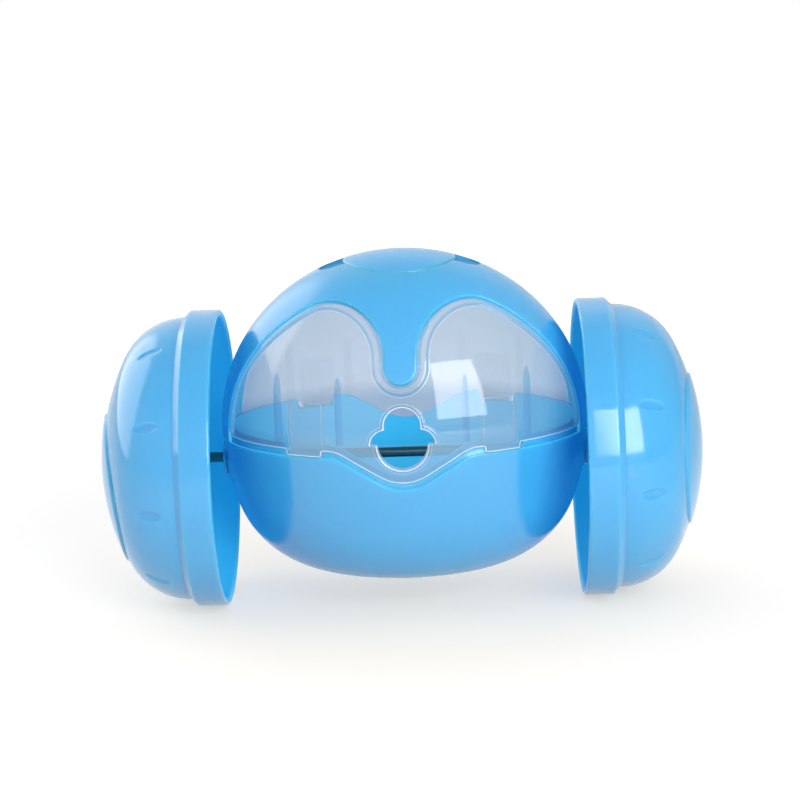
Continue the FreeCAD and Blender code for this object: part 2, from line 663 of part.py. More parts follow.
def wheel_profile(sketch, hand):
    """Half section of the bowl: band, step, shoulder, rounded bend and shallow dome."""
    wall = D["wheel_wall"]
    shoulder_end_r = D["shoulder_radius"] - 0.25
    dome_centre = (hand * (D["dome_apex"] - D["dome_radius"]), 0.0)

    def outline(inset):
        """Bend centre, and the two angles where the bend starts and ends."""
        bend_r = D["bend_radius"] - inset
        dome_r = D["dome_radius"] - inset
        height = shoulder_end_r - D["bend_radius"]
        along = math.sqrt((D["dome_radius"] - D["bend_radius"]) ** 2 - height ** 2)
        centre = (dome_centre[0] + hand * along, float(height))
        return bend_r, dome_r, centre, math.atan2(height, along)

    bend_r, dome_r, bend, turn_angle = outline(0.0)
    inner_bend_r, inner_dome_r, _, _ = outline(wall)
    rim_r = D["rim_radius"]
    open_x = hand * D["opening_x"]
    band_x = open_x + hand * D["band_width"]
    step_x = hand * D["shoulder_x"]
    hub_r = D["hub_radius"]
    root_r = D["hub_root"]
    hub_x = hand * D["hub_face"]
    root_end = math.sqrt(inner_dome_r ** 2 - root_r ** 2)
    root_x = dome_centre[0] + hand * root_end
    inner_rim = rim_r - wall
    inner_shoulder = shoulder_end_r - wall
    lead = 0.8

    def bow(centre, radius, start, end):
        if hand > 0:
            return arc(centre, radius, start, end)
        return arc(centre, radius, math.pi - end, math.pi - start)

    edges = [
        line((open_x, inner_rim + 0.6), (open_x, rim_r - lead)),
        line((open_x, rim_r - lead), (open_x + hand * lead, rim_r)),
        line((open_x + hand * lead, rim_r), (band_x, rim_r)),
        line((band_x, rim_r), (step_x, D["shoulder_radius"])),
        line((step_x, D["shoulder_radius"]), (bend[0], shoulder_end_r)),
        bow(bend, bend_r, turn_angle, math.pi / 2),
        bow(dome_centre, dome_r, 0.0, turn_angle),
        line((dome_centre[0] + hand * dome_r, 0.0), (hand * D["axle_half"], 0.0)),
        line((hand * D["axle_half"], 0.0), (hand * D["axle_half"], D["axle_radius"])),
        line((hand * D["axle_half"], D["axle_radius"]), (hub_x, D["axle_radius"])),
        line((hub_x, D["axle_radius"]), (hub_x, hub_r)),
        line((hub_x, hub_r), (root_x - hand * 6.0, hub_r + 0.6)),
        line((root_x - hand * 6.0, hub_r + 0.6), (root_x, root_r)),
        bow(dome_centre, inner_dome_r, math.atan2(root_r, root_end), turn_angle),
        bow(bend, inner_bend_r, turn_angle, math.pi / 2),
        line((bend[0], inner_shoulder), (step_x - hand * 0.1, inner_shoulder)),
        line((step_x - hand * 0.1, inner_shoulder), (band_x - hand * 1.2, inner_rim)),
        line((band_x - hand * 1.2, inner_rim), (open_x, inner_rim + 0.6)),
    ]
    sketch.addGeometry(edges)
    forward, back = (2, 1) if hand > 0 else (1, 2)
    joints = [(0, 2, 1, 1), (1, 2, 2, 1), (2, 2, 3, 1), (3, 2, 4, 1), (4, 2, 5, forward),
              (6, back, 7, 1), (7, 2, 8, 1), (8, 2, 9, 1), (9, 2, 10, 1), (10, 2, 11, 1),
              (11, 2, 12, 1), (12, 2, 13, back), (14, forward, 15, 1), (15, 2, 16, 1),
              (16, 2, 17, 1), (17, 2, 0, 1), (13, 3, 6, 3), (14, 3, 5, 3)]
    for joint in joints:
        constrain(sketch, "Coincident", *joint)
    constrain(sketch, "Tangent", 5, back, 6, forward)
    constrain(sketch, "Tangent", 14, back, 13, forward)
    pin(sketch, 0, 1, (open_x, inner_rim + 0.6))
    pin(sketch, 0, 2, (open_x, rim_r - lead))
    pin(sketch, 2, 1, (open_x + hand * lead, rim_r))
    pin(sketch, 2, 2, (band_x, rim_r))
    pin(sketch, 4, 1, (step_x, D["shoulder_radius"]))
    constrain(sketch, "DistanceY", -1, 1, 5, 3, size=shoulder_end_r - D["bend_radius"])
    pin(sketch, 6, 3, dome_centre)
    constrain(sketch, "Radius", 5, size=bend_r)
    constrain(sketch, "Radius", 6, size=dome_r)
    pin(sketch, 8, 1, (hand * D["axle_half"], 0.0))
    pin(sketch, 9, 1, (hand * D["axle_half"], D["axle_radius"]))
    pin(sketch, 10, 1, (hub_x, D["axle_radius"]))
    pin(sketch, 10, 2, (hub_x, hub_r))
    pin(sketch, 12, 1, (root_x - hand * 6.0, hub_r + 0.6))
    constrain(sketch, "Radius", 14, size=inner_bend_r)
    constrain(sketch, "DistanceY", -1, 1, 12, 2, size=root_r)
    pin(sketch, 16, 1, (step_x - hand * 0.1, inner_shoulder))
    pin(sketch, 16, 2, (band_x - hand * 1.2, inner_rim))
    constrain(sketch, "Vertical", 4, 2, 5, 3)
    constrain(sketch, "Vertical", 15, 1, 14, 3)
    return sketch


def wheel_ribs(body, hand, pattern_name):
    """Thin webs that brace the hub against the dome."""
    sketch = body_sketch(body, pattern_name + "_profile", "XZ_Plane")
    near = hand * (D["hub_face"] + 8.0)
    tip = hand * (D["dome_apex"] - 2.6)
    polygon(sketch, [(near, D["axle_radius"] + 1.5), (tip, D["axle_radius"] + 1.5),
                     (tip - hand * 0.6, 16.0), (tip - hand * 5.5, 16.0), (near, D["hub_radius"] + 0.4)])
    web = body.newObject("PartDesign::Pad", pattern_name + "_web")
    web.Profile = sketch
    bind(web, "Length", D["rib_wide"])
    web.Midplane = True
    ring = body.newObject("PartDesign::PolarPattern", pattern_name)
    ring.Originals = [web]
    ring.Axis = (sketch, ["H_Axis"])
    ring.Angle = 360
    bind(ring, "Occurrences", D["rib_count"])
    body.Tip = ring
    return sketch


def wheel_dimples(body, hand, axis_sketch, name, first_angle):
    """Thumb-nail scoops round the shoulder."""
    scoop = body.newObject("PartDesign::SubtractiveEllipsoid", name + "_scoop")
    bind(scoop, "Radius1", D["dimple_deep"])
    bind(scoop, "Radius2", D["dimple_long"])
    bind(scoop, "Radius3", D["dimple_wide"])
    lean = FreeCAD.Rotation(V(0, 1, 0), hand * 23.0)
    spin = FreeCAD.Rotation(V(1, 0, 0), first_angle)
    centre = V(hand * float(D["dimple_x"]), 0, float(D["dimple_ring"]))
    scoop.Placement = FreeCAD.Placement(spin.multVec(centre), spin * lean)
    ring = body.newObject("PartDesign::PolarPattern", name)
    ring.Originals = [scoop]
    ring.Axis = (axis_sketch, ["H_Axis"])
    ring.Angle = 360
    bind(ring, "Occurrences", D["dimple_count"])
    body.Tip = ring
    return ring


def wheel(name, hand, disc_angle, dimple_angle):
    """One bowl-shaped wheel. Angles turn from straight up towards the front, in degrees."""
    body = new_body(name + "_bowl")
    turn(body, wheel_profile(body_sketch(body, name + "_section", "XZ_Plane"), hand), name + "_shell")
    axis_sketch = wheel_ribs(body, hand, name + "_webs")
    wheel_dimples(body, hand, axis_sketch, name + "_dimples", dimple_angle)
    place(body, z=AXLE_Z)
    away = math.radians(disc_angle)
    disc_y = -D["disc_offset"] * math.sin(away)
    disc_z = AXLE_Z + D["disc_offset"] * math.cos(away)
    inner_x = D["dome_apex"] - D["wheel_wall"] - 8.0
    start = inner_x if hand > 0 else -inner_x - 20.0
    plug = cylinder(name + "_disc_plug", D["disc_radius"], 20.0, start, disc_y, disc_z, ALONG_X)
    dome = doc.addObject("Part::Sphere", name + "_disc_dome")
    bind(dome, "Radius", D["dome_radius"] + D["disc_step"])
    place(dome, hand * (D["dome_apex"] - D["dome_radius"]), 0.0, AXLE_Z)
    under = doc.addObject("Part::Sphere", name + "_disc_under")
    bind(under, "Radius", D["dome_radius"] - 0.9)
    place(under, hand * (D["dome_apex"] - D["dome_radius"]), 0.0, AXLE_Z)
    disc = cut(name + "_disc", common(name + "_disc_cap", plug, dome), under)
    return fuse(name, body, disc)


def axle():
    body = new_body("axle")
    sketch = body_sketch(body, "axle_section", "YZ_Plane")
    sketch.addGeometry(Part.Circle(V(0, 0, 0), V(0, 0, 1), float(D["axle_radius"])))
    constrain(sketch, "Coincident", 0, 3, -1, 1)
    constrain(sketch, "Radius", 0, size=D["axle_radius"])
    rod = body.newObject("PartDesign::Pad", "axle_rod")
    rod.Profile = sketch
    rod.Midplane = True
    bind(rod, "Length", D["axle_half"] * 2)
    return place(body, z=AXLE_Z)


def bush(name, hand):
    """Flanged plastic bearing, pushed into the shell's side from outside."""
    body = new_body(name)
    bore = D["axle_radius"] + D["running_gap"]
    inner_x = hand * D["bush_inner_x"]
    seat = hand * D["flange_seat"]
    face = seat + hand * D["flange_thick"]
    sketch = body_sketch(body, name + "_section", "XZ_Plane")
    polygon(sketch, [(inner_x, bore), (face, bore), (face, D["flange_radius"] - 0.4),
                     (face - hand * 0.4, D["flange_radius"]), (seat, D["flange_radius"]),
                     (seat, D["bush_radius"]), (inner_x + hand * 0.5, D["bush_radius"]),
                     (inner_x, D["bush_radius"] - 0.5)])
    turn(body, sketch, name + "_turned")
    return place(body, z=AXLE_Z)


def counterweight():
    body = new_body("counterweight")
    half = D["weight_radius"]
    low, high = D["weight_floor"], D["weight_floor"] + D["weight_thick"]
    sketch = body_sketch(body, "weight_section", "XZ_Plane")
    polygon(sketch, [(0.0, low), (half - 1.0, low), (half, low + 1.0), (half, high - 1.0),
                     (half - 1.0, high), (0.0, high)])
    turn(body, sketch, "weight_turned", "V_Axis")
    return body


def weight_cover():
    """Round plate with a lug over each screw post."""
    foot = D["weight_floor"] + D["weight_thick"] + 0.1
    plates = [cylinder("cover_plate", D["weight_radius"] + D["well_gap"] + D["well_wall"],
                       D["cover_thick"], z=foot)]
    holes = []
    for number in range(int(D["screw_count"])):
        angle = screw_angle(number)
        x, y = D["post_ring"] * math.cos(angle), D["post_ring"] * math.sin(angle)
        plates.append(cylinder("cover_lug_%d" % number, D["post_radius"] + 0.4, D["cover_thick"],
                               x, y, foot))
        holes.append(cylinder("cover_hole_%d" % number, D["screw_radius"] + 0.1, 20.0, x, y,
                              foot - 5.0))
    return cut("weight_cover", fuse("cover_blank", *plates), fuse("cover_holes", *holes))


def cover_screws():
    """Three short pan-head screws, one group."""
    seat = D["weight_floor"] + D["weight_thick"] + D["cover_thick"] + 0.1
    screws = []
    for number in range(int(D["screw_count"])):
        angle = screw_angle(number)
        x, y = D["post_ring"] * math.cos(angle), D["post_ring"] * math.sin(angle)
        length = D["screw_long"] - 1.0
        shank = cylinder("shank_%d" % number, D["screw_radius"] - 0.02, length, x, y, seat - length)
        head = cylinder("head_%d" % number, D["screw_head"], D["screw_head_high"], x, y, seat)
        drive = box("drive_%d" % number, (x - 1.8, y - 0.35, seat + 0.8), (x + 1.8, y + 0.35, seat + 9.0))
        screws.append(cut("screw_%d" % number, fuse("screw_blank_%d" % number, shank, head), drive))
    group = doc.addObject("Part::Compound", "cover_screws")
    group.Links = screws
    return group


BODY_PIECES = [
    lower_shell(),
    upper_shell(),
    window("front_window", -1, True),
    window("rear_window", 1, False),
    fill_lid(),
    bush("left_bush", -1),
    bush("right_bush", 1),
    counterweight(),
    weight_cover(),
    cover_screws(),
]
WHEELSET_PIECES = [
    axle(),
    wheel("left_wheel", -1, 142.0, 28.3),
    wheel("right_wheel", 1, 86.0, 25.0),
]
PIECES = BODY_PIECES + WHEELSET_PIECES

# The body slides a little along the axle, and stands off centre as it came to rest
for piece in BODY_PIECES:
    bind(piece, "Placement.Base.x", D["side_play"])
doc.recompute()

for thing in doc.Objects:
    if "Invalid" in thing.State or "Error" in thing.State:
        raise RuntimeError("%s failed: %s" % (thing.Name, thing.getStatusString()))
os.makedirs("parts", exist_ok=True)
for piece in PIECES:
    if piece.Shape.isNull() or not piece.Shape.isValid():
        raise RuntimeError(piece.Label + " has no valid shape")
for piece in PIECES:
    piece.Shape.exportStep("parts/%s.step" % piece.Label)
    box_of = piece.Shape.BoundBox
    print("%-16s %2d solid %9.1f mm3  x %6.1f..%6.1f  y %6.1f..%6.1f  z %6.1f..%6.1f" % (
        piece.Label, len(piece.Shape.Solids), piece.Shape.Volume, box_of.XMin, box_of.XMax,
        box_of.YMin, box_of.YMax, box_of.ZMin, box_of.ZMax))
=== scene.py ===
# %% [markdown]
# # A rolling treat toy, piece by piece
# The toy is a hollow egg of moulded plastic. It hangs on a steel rod between two wheels that are
# shaped like bowls. Treats go in under the round lid and drop out of the hole in the front window.
# The CAD pieces give the main sizes and places. They are too coarse for gloss, so each moulded
# piece is worked out again here as a smooth surface and laid over its CAD solid.

# %% Load the frame
import math

import bmesh
import bpy
import numpy as np
from mathutils import Matrix, Vector
from mathutils.geometry import delaunay_2d_cdt


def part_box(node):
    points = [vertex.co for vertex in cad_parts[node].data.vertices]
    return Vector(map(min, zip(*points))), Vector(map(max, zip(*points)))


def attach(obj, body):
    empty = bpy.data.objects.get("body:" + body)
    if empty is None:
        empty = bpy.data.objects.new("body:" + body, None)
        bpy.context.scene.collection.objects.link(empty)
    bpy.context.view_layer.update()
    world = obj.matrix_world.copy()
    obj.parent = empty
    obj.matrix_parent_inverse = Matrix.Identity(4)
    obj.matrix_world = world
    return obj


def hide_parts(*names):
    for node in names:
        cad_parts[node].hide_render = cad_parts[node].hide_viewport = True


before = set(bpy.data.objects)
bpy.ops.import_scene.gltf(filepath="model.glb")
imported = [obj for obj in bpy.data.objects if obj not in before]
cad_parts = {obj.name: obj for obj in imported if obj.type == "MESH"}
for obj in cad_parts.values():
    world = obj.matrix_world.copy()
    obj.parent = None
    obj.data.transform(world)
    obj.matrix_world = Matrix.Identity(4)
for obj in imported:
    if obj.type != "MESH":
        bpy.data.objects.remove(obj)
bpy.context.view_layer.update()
MM = 0.001


def node_box(name):
    """Lowest and highest corner of a CAD piece, in millimetres."""
    low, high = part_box(name)
    return np.array(low) / MM, np.array(high) / MM


wheel_low, wheel_high = node_box("right_wheel")
shell_low, shell_high = node_box("upper_shell")
AXLE_Z = (wheel_low[2] + wheel_high[2]) / 2
RIM_RADIUS = (wheel_high[2] - wheel_low[2]) / 2
OPENING_X = wheel_low[0]
BODY_X = (shell_low[0] + shell_high[0]) / 2
HALF_WIDTH = (shell_high[0] - shell_low[0]) / 2
TOP_Z = node_box("fill_lid")[1][2]
print("axle at %.2f mm, rim radius %.2f mm, body centre x %.2f mm" % (AXLE_Z, RIM_RADIUS, BODY_X))

# %% [markdown]
# ## The egg
# The body's roof is half an ellipsoid. The belly is turned from three arcs that run into each
# other, then squeezed from front to back. One pair of functions gives a point on this form from
# a compass angle and a height, at any depth under the skin. All body pieces are pressed on it,
# so their faces meet as they do on the real moulding.

# %% The form of the body
EQUATOR_Z = AXLE_Z + 9.6
CROWN = TOP_Z - EQUATOR_Z
FLATTENING = 40.0 / 52.3
BELLY_DEPTH = 44.2
SIDE_ARC, CORNER_ARC, BELLY_ARC = 66.0, 29.0, 125.0
WALL = 2.0


def touching_centre(centre_a, reach_a, centre_b, reach_b):
    """The point at given distances from two centres, on the side of larger x."""
    gap = math.dist(centre_a, centre_b)
    along = (gap ** 2 + reach_a ** 2 - reach_b ** 2) / (2 * gap)
    aside = math.sqrt(reach_a ** 2 - along ** 2)
    unit = (np.array(centre_b) - centre_a) / gap
    across = np.array([-unit[1], unit[0]])
    both = [np.array(centre_a) + along * unit + hand * aside * across for hand in (1, -1)]
    return max(both, key=lambda point: point[0])


side_centre = np.array([HALF_WIDTH - SIDE_ARC, EQUATOR_Z])
belly_centre = np.array([0.0, EQUATOR_Z - BELLY_DEPTH + BELLY_ARC])
corner_centre = touching_centre(side_centre, SIDE_ARC - CORNER_ARC,
                                belly_centre, BELLY_ARC - CORNER_ARC)
side_turn = math.atan2(*(corner_centre - side_centre)[::-1])
belly_turn = math.atan2(*(corner_centre - belly_centre)[::-1])


def circle_x(centre, radius, z):
    return centre[0] + np.sqrt(np.clip(radius ** 2 - (z - centre[1]) ** 2, 0, None))


def radius_at(z, inset=0.0):
    """Half width of the body at height z: an ellipse above the equator, three arcs below."""
    rise = np.clip((z - EQUATOR_Z) / (CROWN - inset), 0, 1)
    roof = (HALF_WIDTH - inset) * np.sqrt(1 - rise ** 2)
    side = circle_x(side_centre, SIDE_ARC - inset, z)
    corner = circle_x(corner_centre, CORNER_ARC - inset, z)
    belly = circle_x(belly_centre, BELLY_ARC - inset, z)
    side_end = EQUATOR_Z + (SIDE_ARC - inset) * math.sin(side_turn)
    corner_end = corner_centre[1] + (CORNER_ARC - inset) * math.sin(belly_turn)
    low = np.where(z > side_end, side, np.where(z > corner_end, corner, belly))
    return np.where(z >= EQUATOR_Z, roof, low)


def squeeze(inset=0.0):
    """How much less the body measures from front to back than from side to side."""
    return (HALF_WIDTH * FLATTENING - inset) / (HALF_WIDTH - inset)


def on_ring(turn, z, inset=0.0, radius=None):
    """Point at a compass angle, 90 degrees at the front, on the ring of the form at height z."""
    radius = radius_at(z, inset) if radius is None else radius
    x, y = radius * np.cos(turn), -squeeze(inset) * radius * np.sin(turn)
    return np.stack([x, y, z + 0 * turn], -1)


def skin(turn, climb, inset=0.0):
    """Point on the form: climb is the roof's angle above the equator, or below it the height as
    a share of the crown's."""
    z = EQUATOR_Z + (CROWN - inset) * np.where(climb > 0, np.sin(climb), climb)
    return on_ring(turn, z, inset)


def unskin(points):
    """The turn and climb of points on or near the form."""
    x, y, z = points[..., 0], points[..., 1] / squeeze(), (points[..., 2] - EQUATOR_Z) / CROWN
    climb = np.where(z > 0, np.arctan2(z, np.hypot(x, y) / HALF_WIDTH), z)
    return np.arctan2(-y, x), climb


def from_front(x, z, inset=0.0):
    """Point on the front of the form, from its place in a front view."""
    ring = radius_at(z, inset)
    y = -squeeze(inset) * np.sqrt(np.clip(ring ** 2 - x ** 2, 0, None))
    return np.stack([x + 0 * z, y + 0 * x, z + 0 * x], -1)


def skin_normal(points):
    """Outward direction of the form: the gradient of its equation."""
    z = points[:, 2]
    slope = (radius_at(z + 0.01) ** 2 - radius_at(z - 0.01) ** 2) / 0.02
    normal = np.stack([points[:, 0], points[:, 1] / squeeze() ** 2, -slope / 2], 1)
    return normal / np.linalg.norm(normal, axis=1, keepdims=True)


print("body %.1f wide, %.1f deep, z %.1f to %.1f mm" % (
    2 * HALF_WIDTH, 2 * HALF_WIDTH * FLATTENING, EQUATOR_Z - BELLY_DEPTH, TOP_Z))

# %% [markdown]
# ## From arrays to pieces
# A moulded edge is a small section carried along the edge's path, and a moulded face a sheet of
# triangles between the edges. Both are laid out flat in turn and climb, then pressed on the form.
# Parts are merged where they share points. The count of open edges shows whether a skin is closed.

# %% Helpers for grids, edges and sheets
FLAT = np.array([42.0, 49.0])     # millimetres on the flat layout for a radian of turn and climb
OUTER, INNER, EXTRA = range(3)    # places of a shell's or a wheel's materials
MERGE_DISTANCE = 2e-6             # metres
RIM_GAP, LATTICE_GAP, SLIVER_AREA = 0.15, 0.55, 1e-5


def grid_part(grid, closed=True):
    """A grid of points, shaped rows by columns by 3, as points and four-sided faces."""
    rows, columns = grid.shape[:2]
    row = np.arange(rows - 1)[:, None]
    column = np.arange(columns if closed else columns - 1)[None]
    following = (column + 1) % columns
    corners = [row * columns + column, row * columns + following,
               (row + 1) * columns + following, (row + 1) * columns + column]
    return grid.reshape(-1, 3), np.stack(corners, -1).reshape(-1, 4)


def mirrored(part, axis):
    points, faces, *slot = part
    return points * (1 - 2 * np.eye(3)[axis]), faces[:, ::-1], *slot


def by_rows(grid, slots):
    """A grid part finished row by row: slots holds a material's number and its range of rows."""
    points, faces = grid_part(grid)
    numbers = np.zeros((len(grid) - 1, grid.shape[1]), int)
    for slot, first, last in slots:
        numbers[first:last] = slot
    return points, faces, numbers.ravel()


def quarter_grid(grid):
    """A grid over a quarter of the body, with its ends set on the two planes of symmetry."""
    grid[:, -1, 0] = 0.0
    grid[:, 0, 1] = 0.0
    return grid_part(grid, False)


def four_quarters(parts):
    """Parts of a quarter of the body, mirrored to the left and to the rear."""
    half = parts + [mirrored(part, 0) for part in parts]
    return half + [mirrored(part, 1) for part in half]


def even_loop(points, count, soften):
    """Evenly spaced points on a closed curve, its corners rounded by damping short waves, as a
    running mean of reach soften does."""
    fine = 8192
    closed = np.vstack([points, points[:1]])
    along = np.concatenate([[0], np.cumsum(np.linalg.norm(np.diff(closed, axis=0), axis=1))])
    place = np.linspace(0, along[-1], fine, endpoint=False)
    curve = np.stack([np.interp(place, along, column) for column in closed.T], 1)
    waves = np.fft.rfftfreq(fine, along[-1] / fine)
    damping = np.exp(-2 * (np.pi * waves * soften) ** 2)[:, None]
    curve = np.fft.irfft(np.fft.rfft(curve, axis=0) * damping, fine, axis=0)
    return curve[np.round(np.linspace(0, fine, count, endpoint=False)).astype(int)]


def side_way(loop):
    """Unit vectors that lie in the skin and point out of a closed loop."""
    travel = np.roll(loop, -1, 0) - np.roll(loop, 1, 0)
    way = np.cross(travel, skin_normal(loop))
    way /= np.linalg.norm(way, axis=1, keepdims=True)
    outward = (way * (loop - loop.mean(0))).sum() > 0
    return way if outward else -way


def pressed(points, inset):
    """Points near the skin, moved to a depth under it."""
    return skin(*unskin(points), inset)


def beside(loop, way, aside):
    """A loop moved aside within the skin."""
    return loop + way * np.reshape(aside, (-1, 1))


def edge_rings(loop, way, section):
    """A section carried along a loop: each pair is the distance aside and the depth."""
    return np.array([pressed(beside(loop, way, aside), inset) for aside, inset in section])


def crossings(points, loops):
    """True for points inside an odd number of flat loops."""
    odd = np.zeros(len(points), bool)
    for loop in loops:
        start, end = loop, np.roll(loop, -1, 0)
        rise = np.where(end[:, 1] == start[:, 1], 1e-12, end[:, 1] - start[:, 1])
        for block in np.array_split(np.arange(len(points)), max(1, len(points) // 4000)):
            y = points[block, 1][:, None]
            spans = (start[:, 1] > y) != (end[:, 1] > y)
            at = start[:, 0] + (y - start[:, 1]) / rise * (end[:, 0] - start[:, 0])
            odd[block] ^= (spans & (points[block, 0][:, None] < at)).sum(1) % 2 == 1
    return odd


def gaps(points, others):
    """Distance from each point to the nearest of the others."""
    return np.array([np.hypot(*(others - point).T).min() for point in points])


def filled(loops, step, extra=None):
    """Delaunay triangles between flat loops, over a lattice and any extra points."""
    rim = np.vstack(loops)
    low, high = rim.min(0), rim.max(0)
    lattice = np.stack(np.meshgrid(np.arange(low[0], high[0], step),
                                   np.arange(low[1], high[1], step * 0.866), indexing="ij"), -1)
    lattice[:, 1::2, 0] += step / 2
    lattice = lattice.reshape(-1, 2)
    lattice = lattice[crossings(lattice, loops)]
    points = rim
    if extra is not None:
        extra = extra[crossings(extra, loops)]
        points = np.vstack([rim, extra[gaps(extra, rim) > RIM_GAP]])
    points = np.vstack([points, lattice[gaps(lattice, points) > step * LATTICE_GAP]])
    edges = []
    for loop in loops:
        index = len(edges) + np.arange(len(loop))
        edges += np.stack([index, np.roll(index, -1)], 1).tolist()
    result = delaunay_2d_cdt(points.tolist(), edges, [], 0, 1e-7)
    origin = np.array([source[0] for source in result[3]])
    triangles = origin[np.array(result[2])]
    corners = points[triangles]
    one, other = corners[:, 1] - corners[:, 0], corners[:, 2] - corners[:, 0]
    area = np.abs(one[:, 0] * other[:, 1] - one[:, 1] * other[:, 0])
    return points, triangles[(area > SLIVER_AREA) & crossings(corners.mean(1), loops)]


def flat_layout(points):
    return np.stack(unskin(points), -1) * FLAT


def sheets(points, triangles, *depths):
    """The same flat triangles pressed on the form at each of the depths."""
    turn, climb = (points / FLAT).T
    return [(skin(turn, climb, depth), triangles) for depth in depths]


def face_values(mesh, key, width):
    """One row of numbers for each face."""
    values = np.empty(len(mesh.polygons) * width, np.int32 if width == 1 else np.float32)
    mesh.polygons.foreach_get(key, values)
    return values.reshape(-1, width)


def placed(name, data):
    """A new object, linked to the scene."""
    thing = bpy.data.objects.new(name, data)
    bpy.context.scene.collection.objects.link(thing)
    return thing


def add_piece(name, parts, materials, body, *nodes, inside=None):
    """A closed mesh from parts in millimetres, riding on a body in place of CAD nodes. Faces
    that look towards the point inside get the inner material."""
    offset = np.array([0.0 if body == "wheelset" else BODY_X, 0.0, 0.0])
    points, faces, slots, base = [], [], [], 0
    for part_points, part_faces, *slot in parts:
        points.append(part_points)
        faces += (part_faces + base).tolist()
        slots.append(np.broadcast_to(slot[0] if slot else 0, len(part_faces)))
        base += len(part_points)
    points = (np.vstack(points) + offset) * MM
    mesh = bpy.data.meshes.new(name)
    mesh.from_pydata(points.tolist(), [], faces)
    mesh.polygons.foreach_set("material_index", np.concatenate(slots).astype(np.int32))
    work = bmesh.new()
    work.from_mesh(mesh)
    bmesh.ops.remove_doubles(work, verts=work.verts, dist=MERGE_DISTANCE)
    bmesh.ops.recalc_face_normals(work, faces=work.faces)
    open_edges = sum(not edge.is_manifold for edge in work.edges)
    work.to_mesh(mesh)
    work.free()
    mesh.shade_smooth()
    for material in materials:
        mesh.materials.append(material)
    if inside is not None:
        away = face_values(mesh, "center", 3) - (inside + offset) * MM
        inward = (away * face_values(mesh, "normal", 3)).sum(1) < 0
        slots = np.where(inward, INNER, face_values(mesh, "material_index", 1)[:, 0])
        mesh.polygons.foreach_set("material_index", slots.astype(np.int32))
    piece = placed(name, mesh)
    piece.modifiers.new("even_shading", "WEIGHTED_NORMAL").keep_sharp = True
    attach(piece, body)
    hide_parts(*nodes)
    print("%-18s %6d faces, %d open edges" % (name, len(mesh.polygons), open_edges))


# %% [markdown]
# ## Finishes
# The blue is a glossy moulded plastic of nearly even colour. Its finish comes from a slightly
# uneven roughness and a very low ripple. Light comes through its walls; for that light the inner
# sides are painted lighter and given a painted glow, and the finger scoops are painted darker as
# painted shade. The windows are clear with a faint haze, milkier along the foot. Their cut edges
# and thin lines are painted pale as painted highlights, and the bead's bends and the gussets are
# tinted blue as a painted reflection of the shell. The rod is drawn steel, dark with a soft sheen.

# %% Materials
def nodes_of(name):
    material = bpy.data.materials.new(name)
    material.use_nodes = True
    tree = material.node_tree
    return material, tree, tree.nodes["Principled BSDF"]


def wire(tree, node, inputs):
    """Sets a node's inputs. A value may be another node's output; a colour gets its alpha."""
    for key, value in inputs.items():
        socket = node.inputs[key]
        if isinstance(value, bpy.types.NodeSocket):
            tree.links.new(value, socket)
        else:
            socket.default_value = (*value, 1) if socket.type == "RGBA" else value


def linked(tree, kind, inputs, **settings):
    """The outputs of a new node with its properties and inputs set."""
    node = tree.nodes.new(kind)
    for key, value in settings.items():
        setattr(node, key, value)
    wire(tree, node, inputs)
    return node.outputs


def ranged(tree, value, start, end, low, high):
    """Low where the value is at start, high where it is at end, and even steps between."""
    return linked(tree, "ShaderNodeMapRange", {"Value": value, "From Min": start, "From Max": end,
                                               "To Min": low, "To Max": high})["Result"]


def combined(tree, operation, *values):
    """A sum, product or maximum of node outputs or numbers."""
    return linked(tree, "ShaderNodeMath", dict(enumerate(values)), operation=operation)[0]


def blended(tree, share, first, second):
    """The first colour where the share is 0, the second where it is 1."""
    return linked(tree, "ShaderNodeMix", {0: share, 6: first, 7: second}, data_type="RGBA")[2]


def ripple(tree, shader, scale, strength, roughness, spread):
    """Uneven roughness and a low bump, both from noise in object coordinates."""
    where = linked(tree, "ShaderNodeTexCoord", {})["Object"]
    coarse, fine = (linked(tree, "ShaderNodeTexNoise", {
        "Vector": where, "Scale": size, "Detail": detail})["Fac"]
        for size, detail in ((scale, 4.0), (scale * 9, 2.0)))
    bump = {"Height": fine, "Strength": strength, "Distance": 0.0002}
    wire(tree, shader, {
        "Roughness": ranged(tree, coarse, 0.3, 0.7, roughness - spread, roughness + spread),
        "Normal": linked(tree, "ShaderNodeBump", bump)["Normal"]})
    return coarse


def blue_plastic(name, light, dark, roughness, ior, soaking, painted_glow=(1, 1, 1), strength=0.0):
    """Moulded plastic: two close tints mixed by noise. Where light soaks in it is a little
    translucent, which keeps the shaded sides deep blue, not grey. A painted glow stands in for the
    light that comes through thin walls."""
    material, tree, shader = nodes_of(name)
    coarse = ripple(tree, shader, 60.0, 0.02, roughness, 0.03)
    wire(tree, shader, {
        "Base Color": blended(tree, coarse, light, dark), "IOR": ior, "Subsurface Weight": soaking,
        "Subsurface Radius": (0.5, 1.0, 1.2), "Subsurface Scale": 0.003, "Emission Color": painted_glow,
        "Emission Strength": strength})
    return material


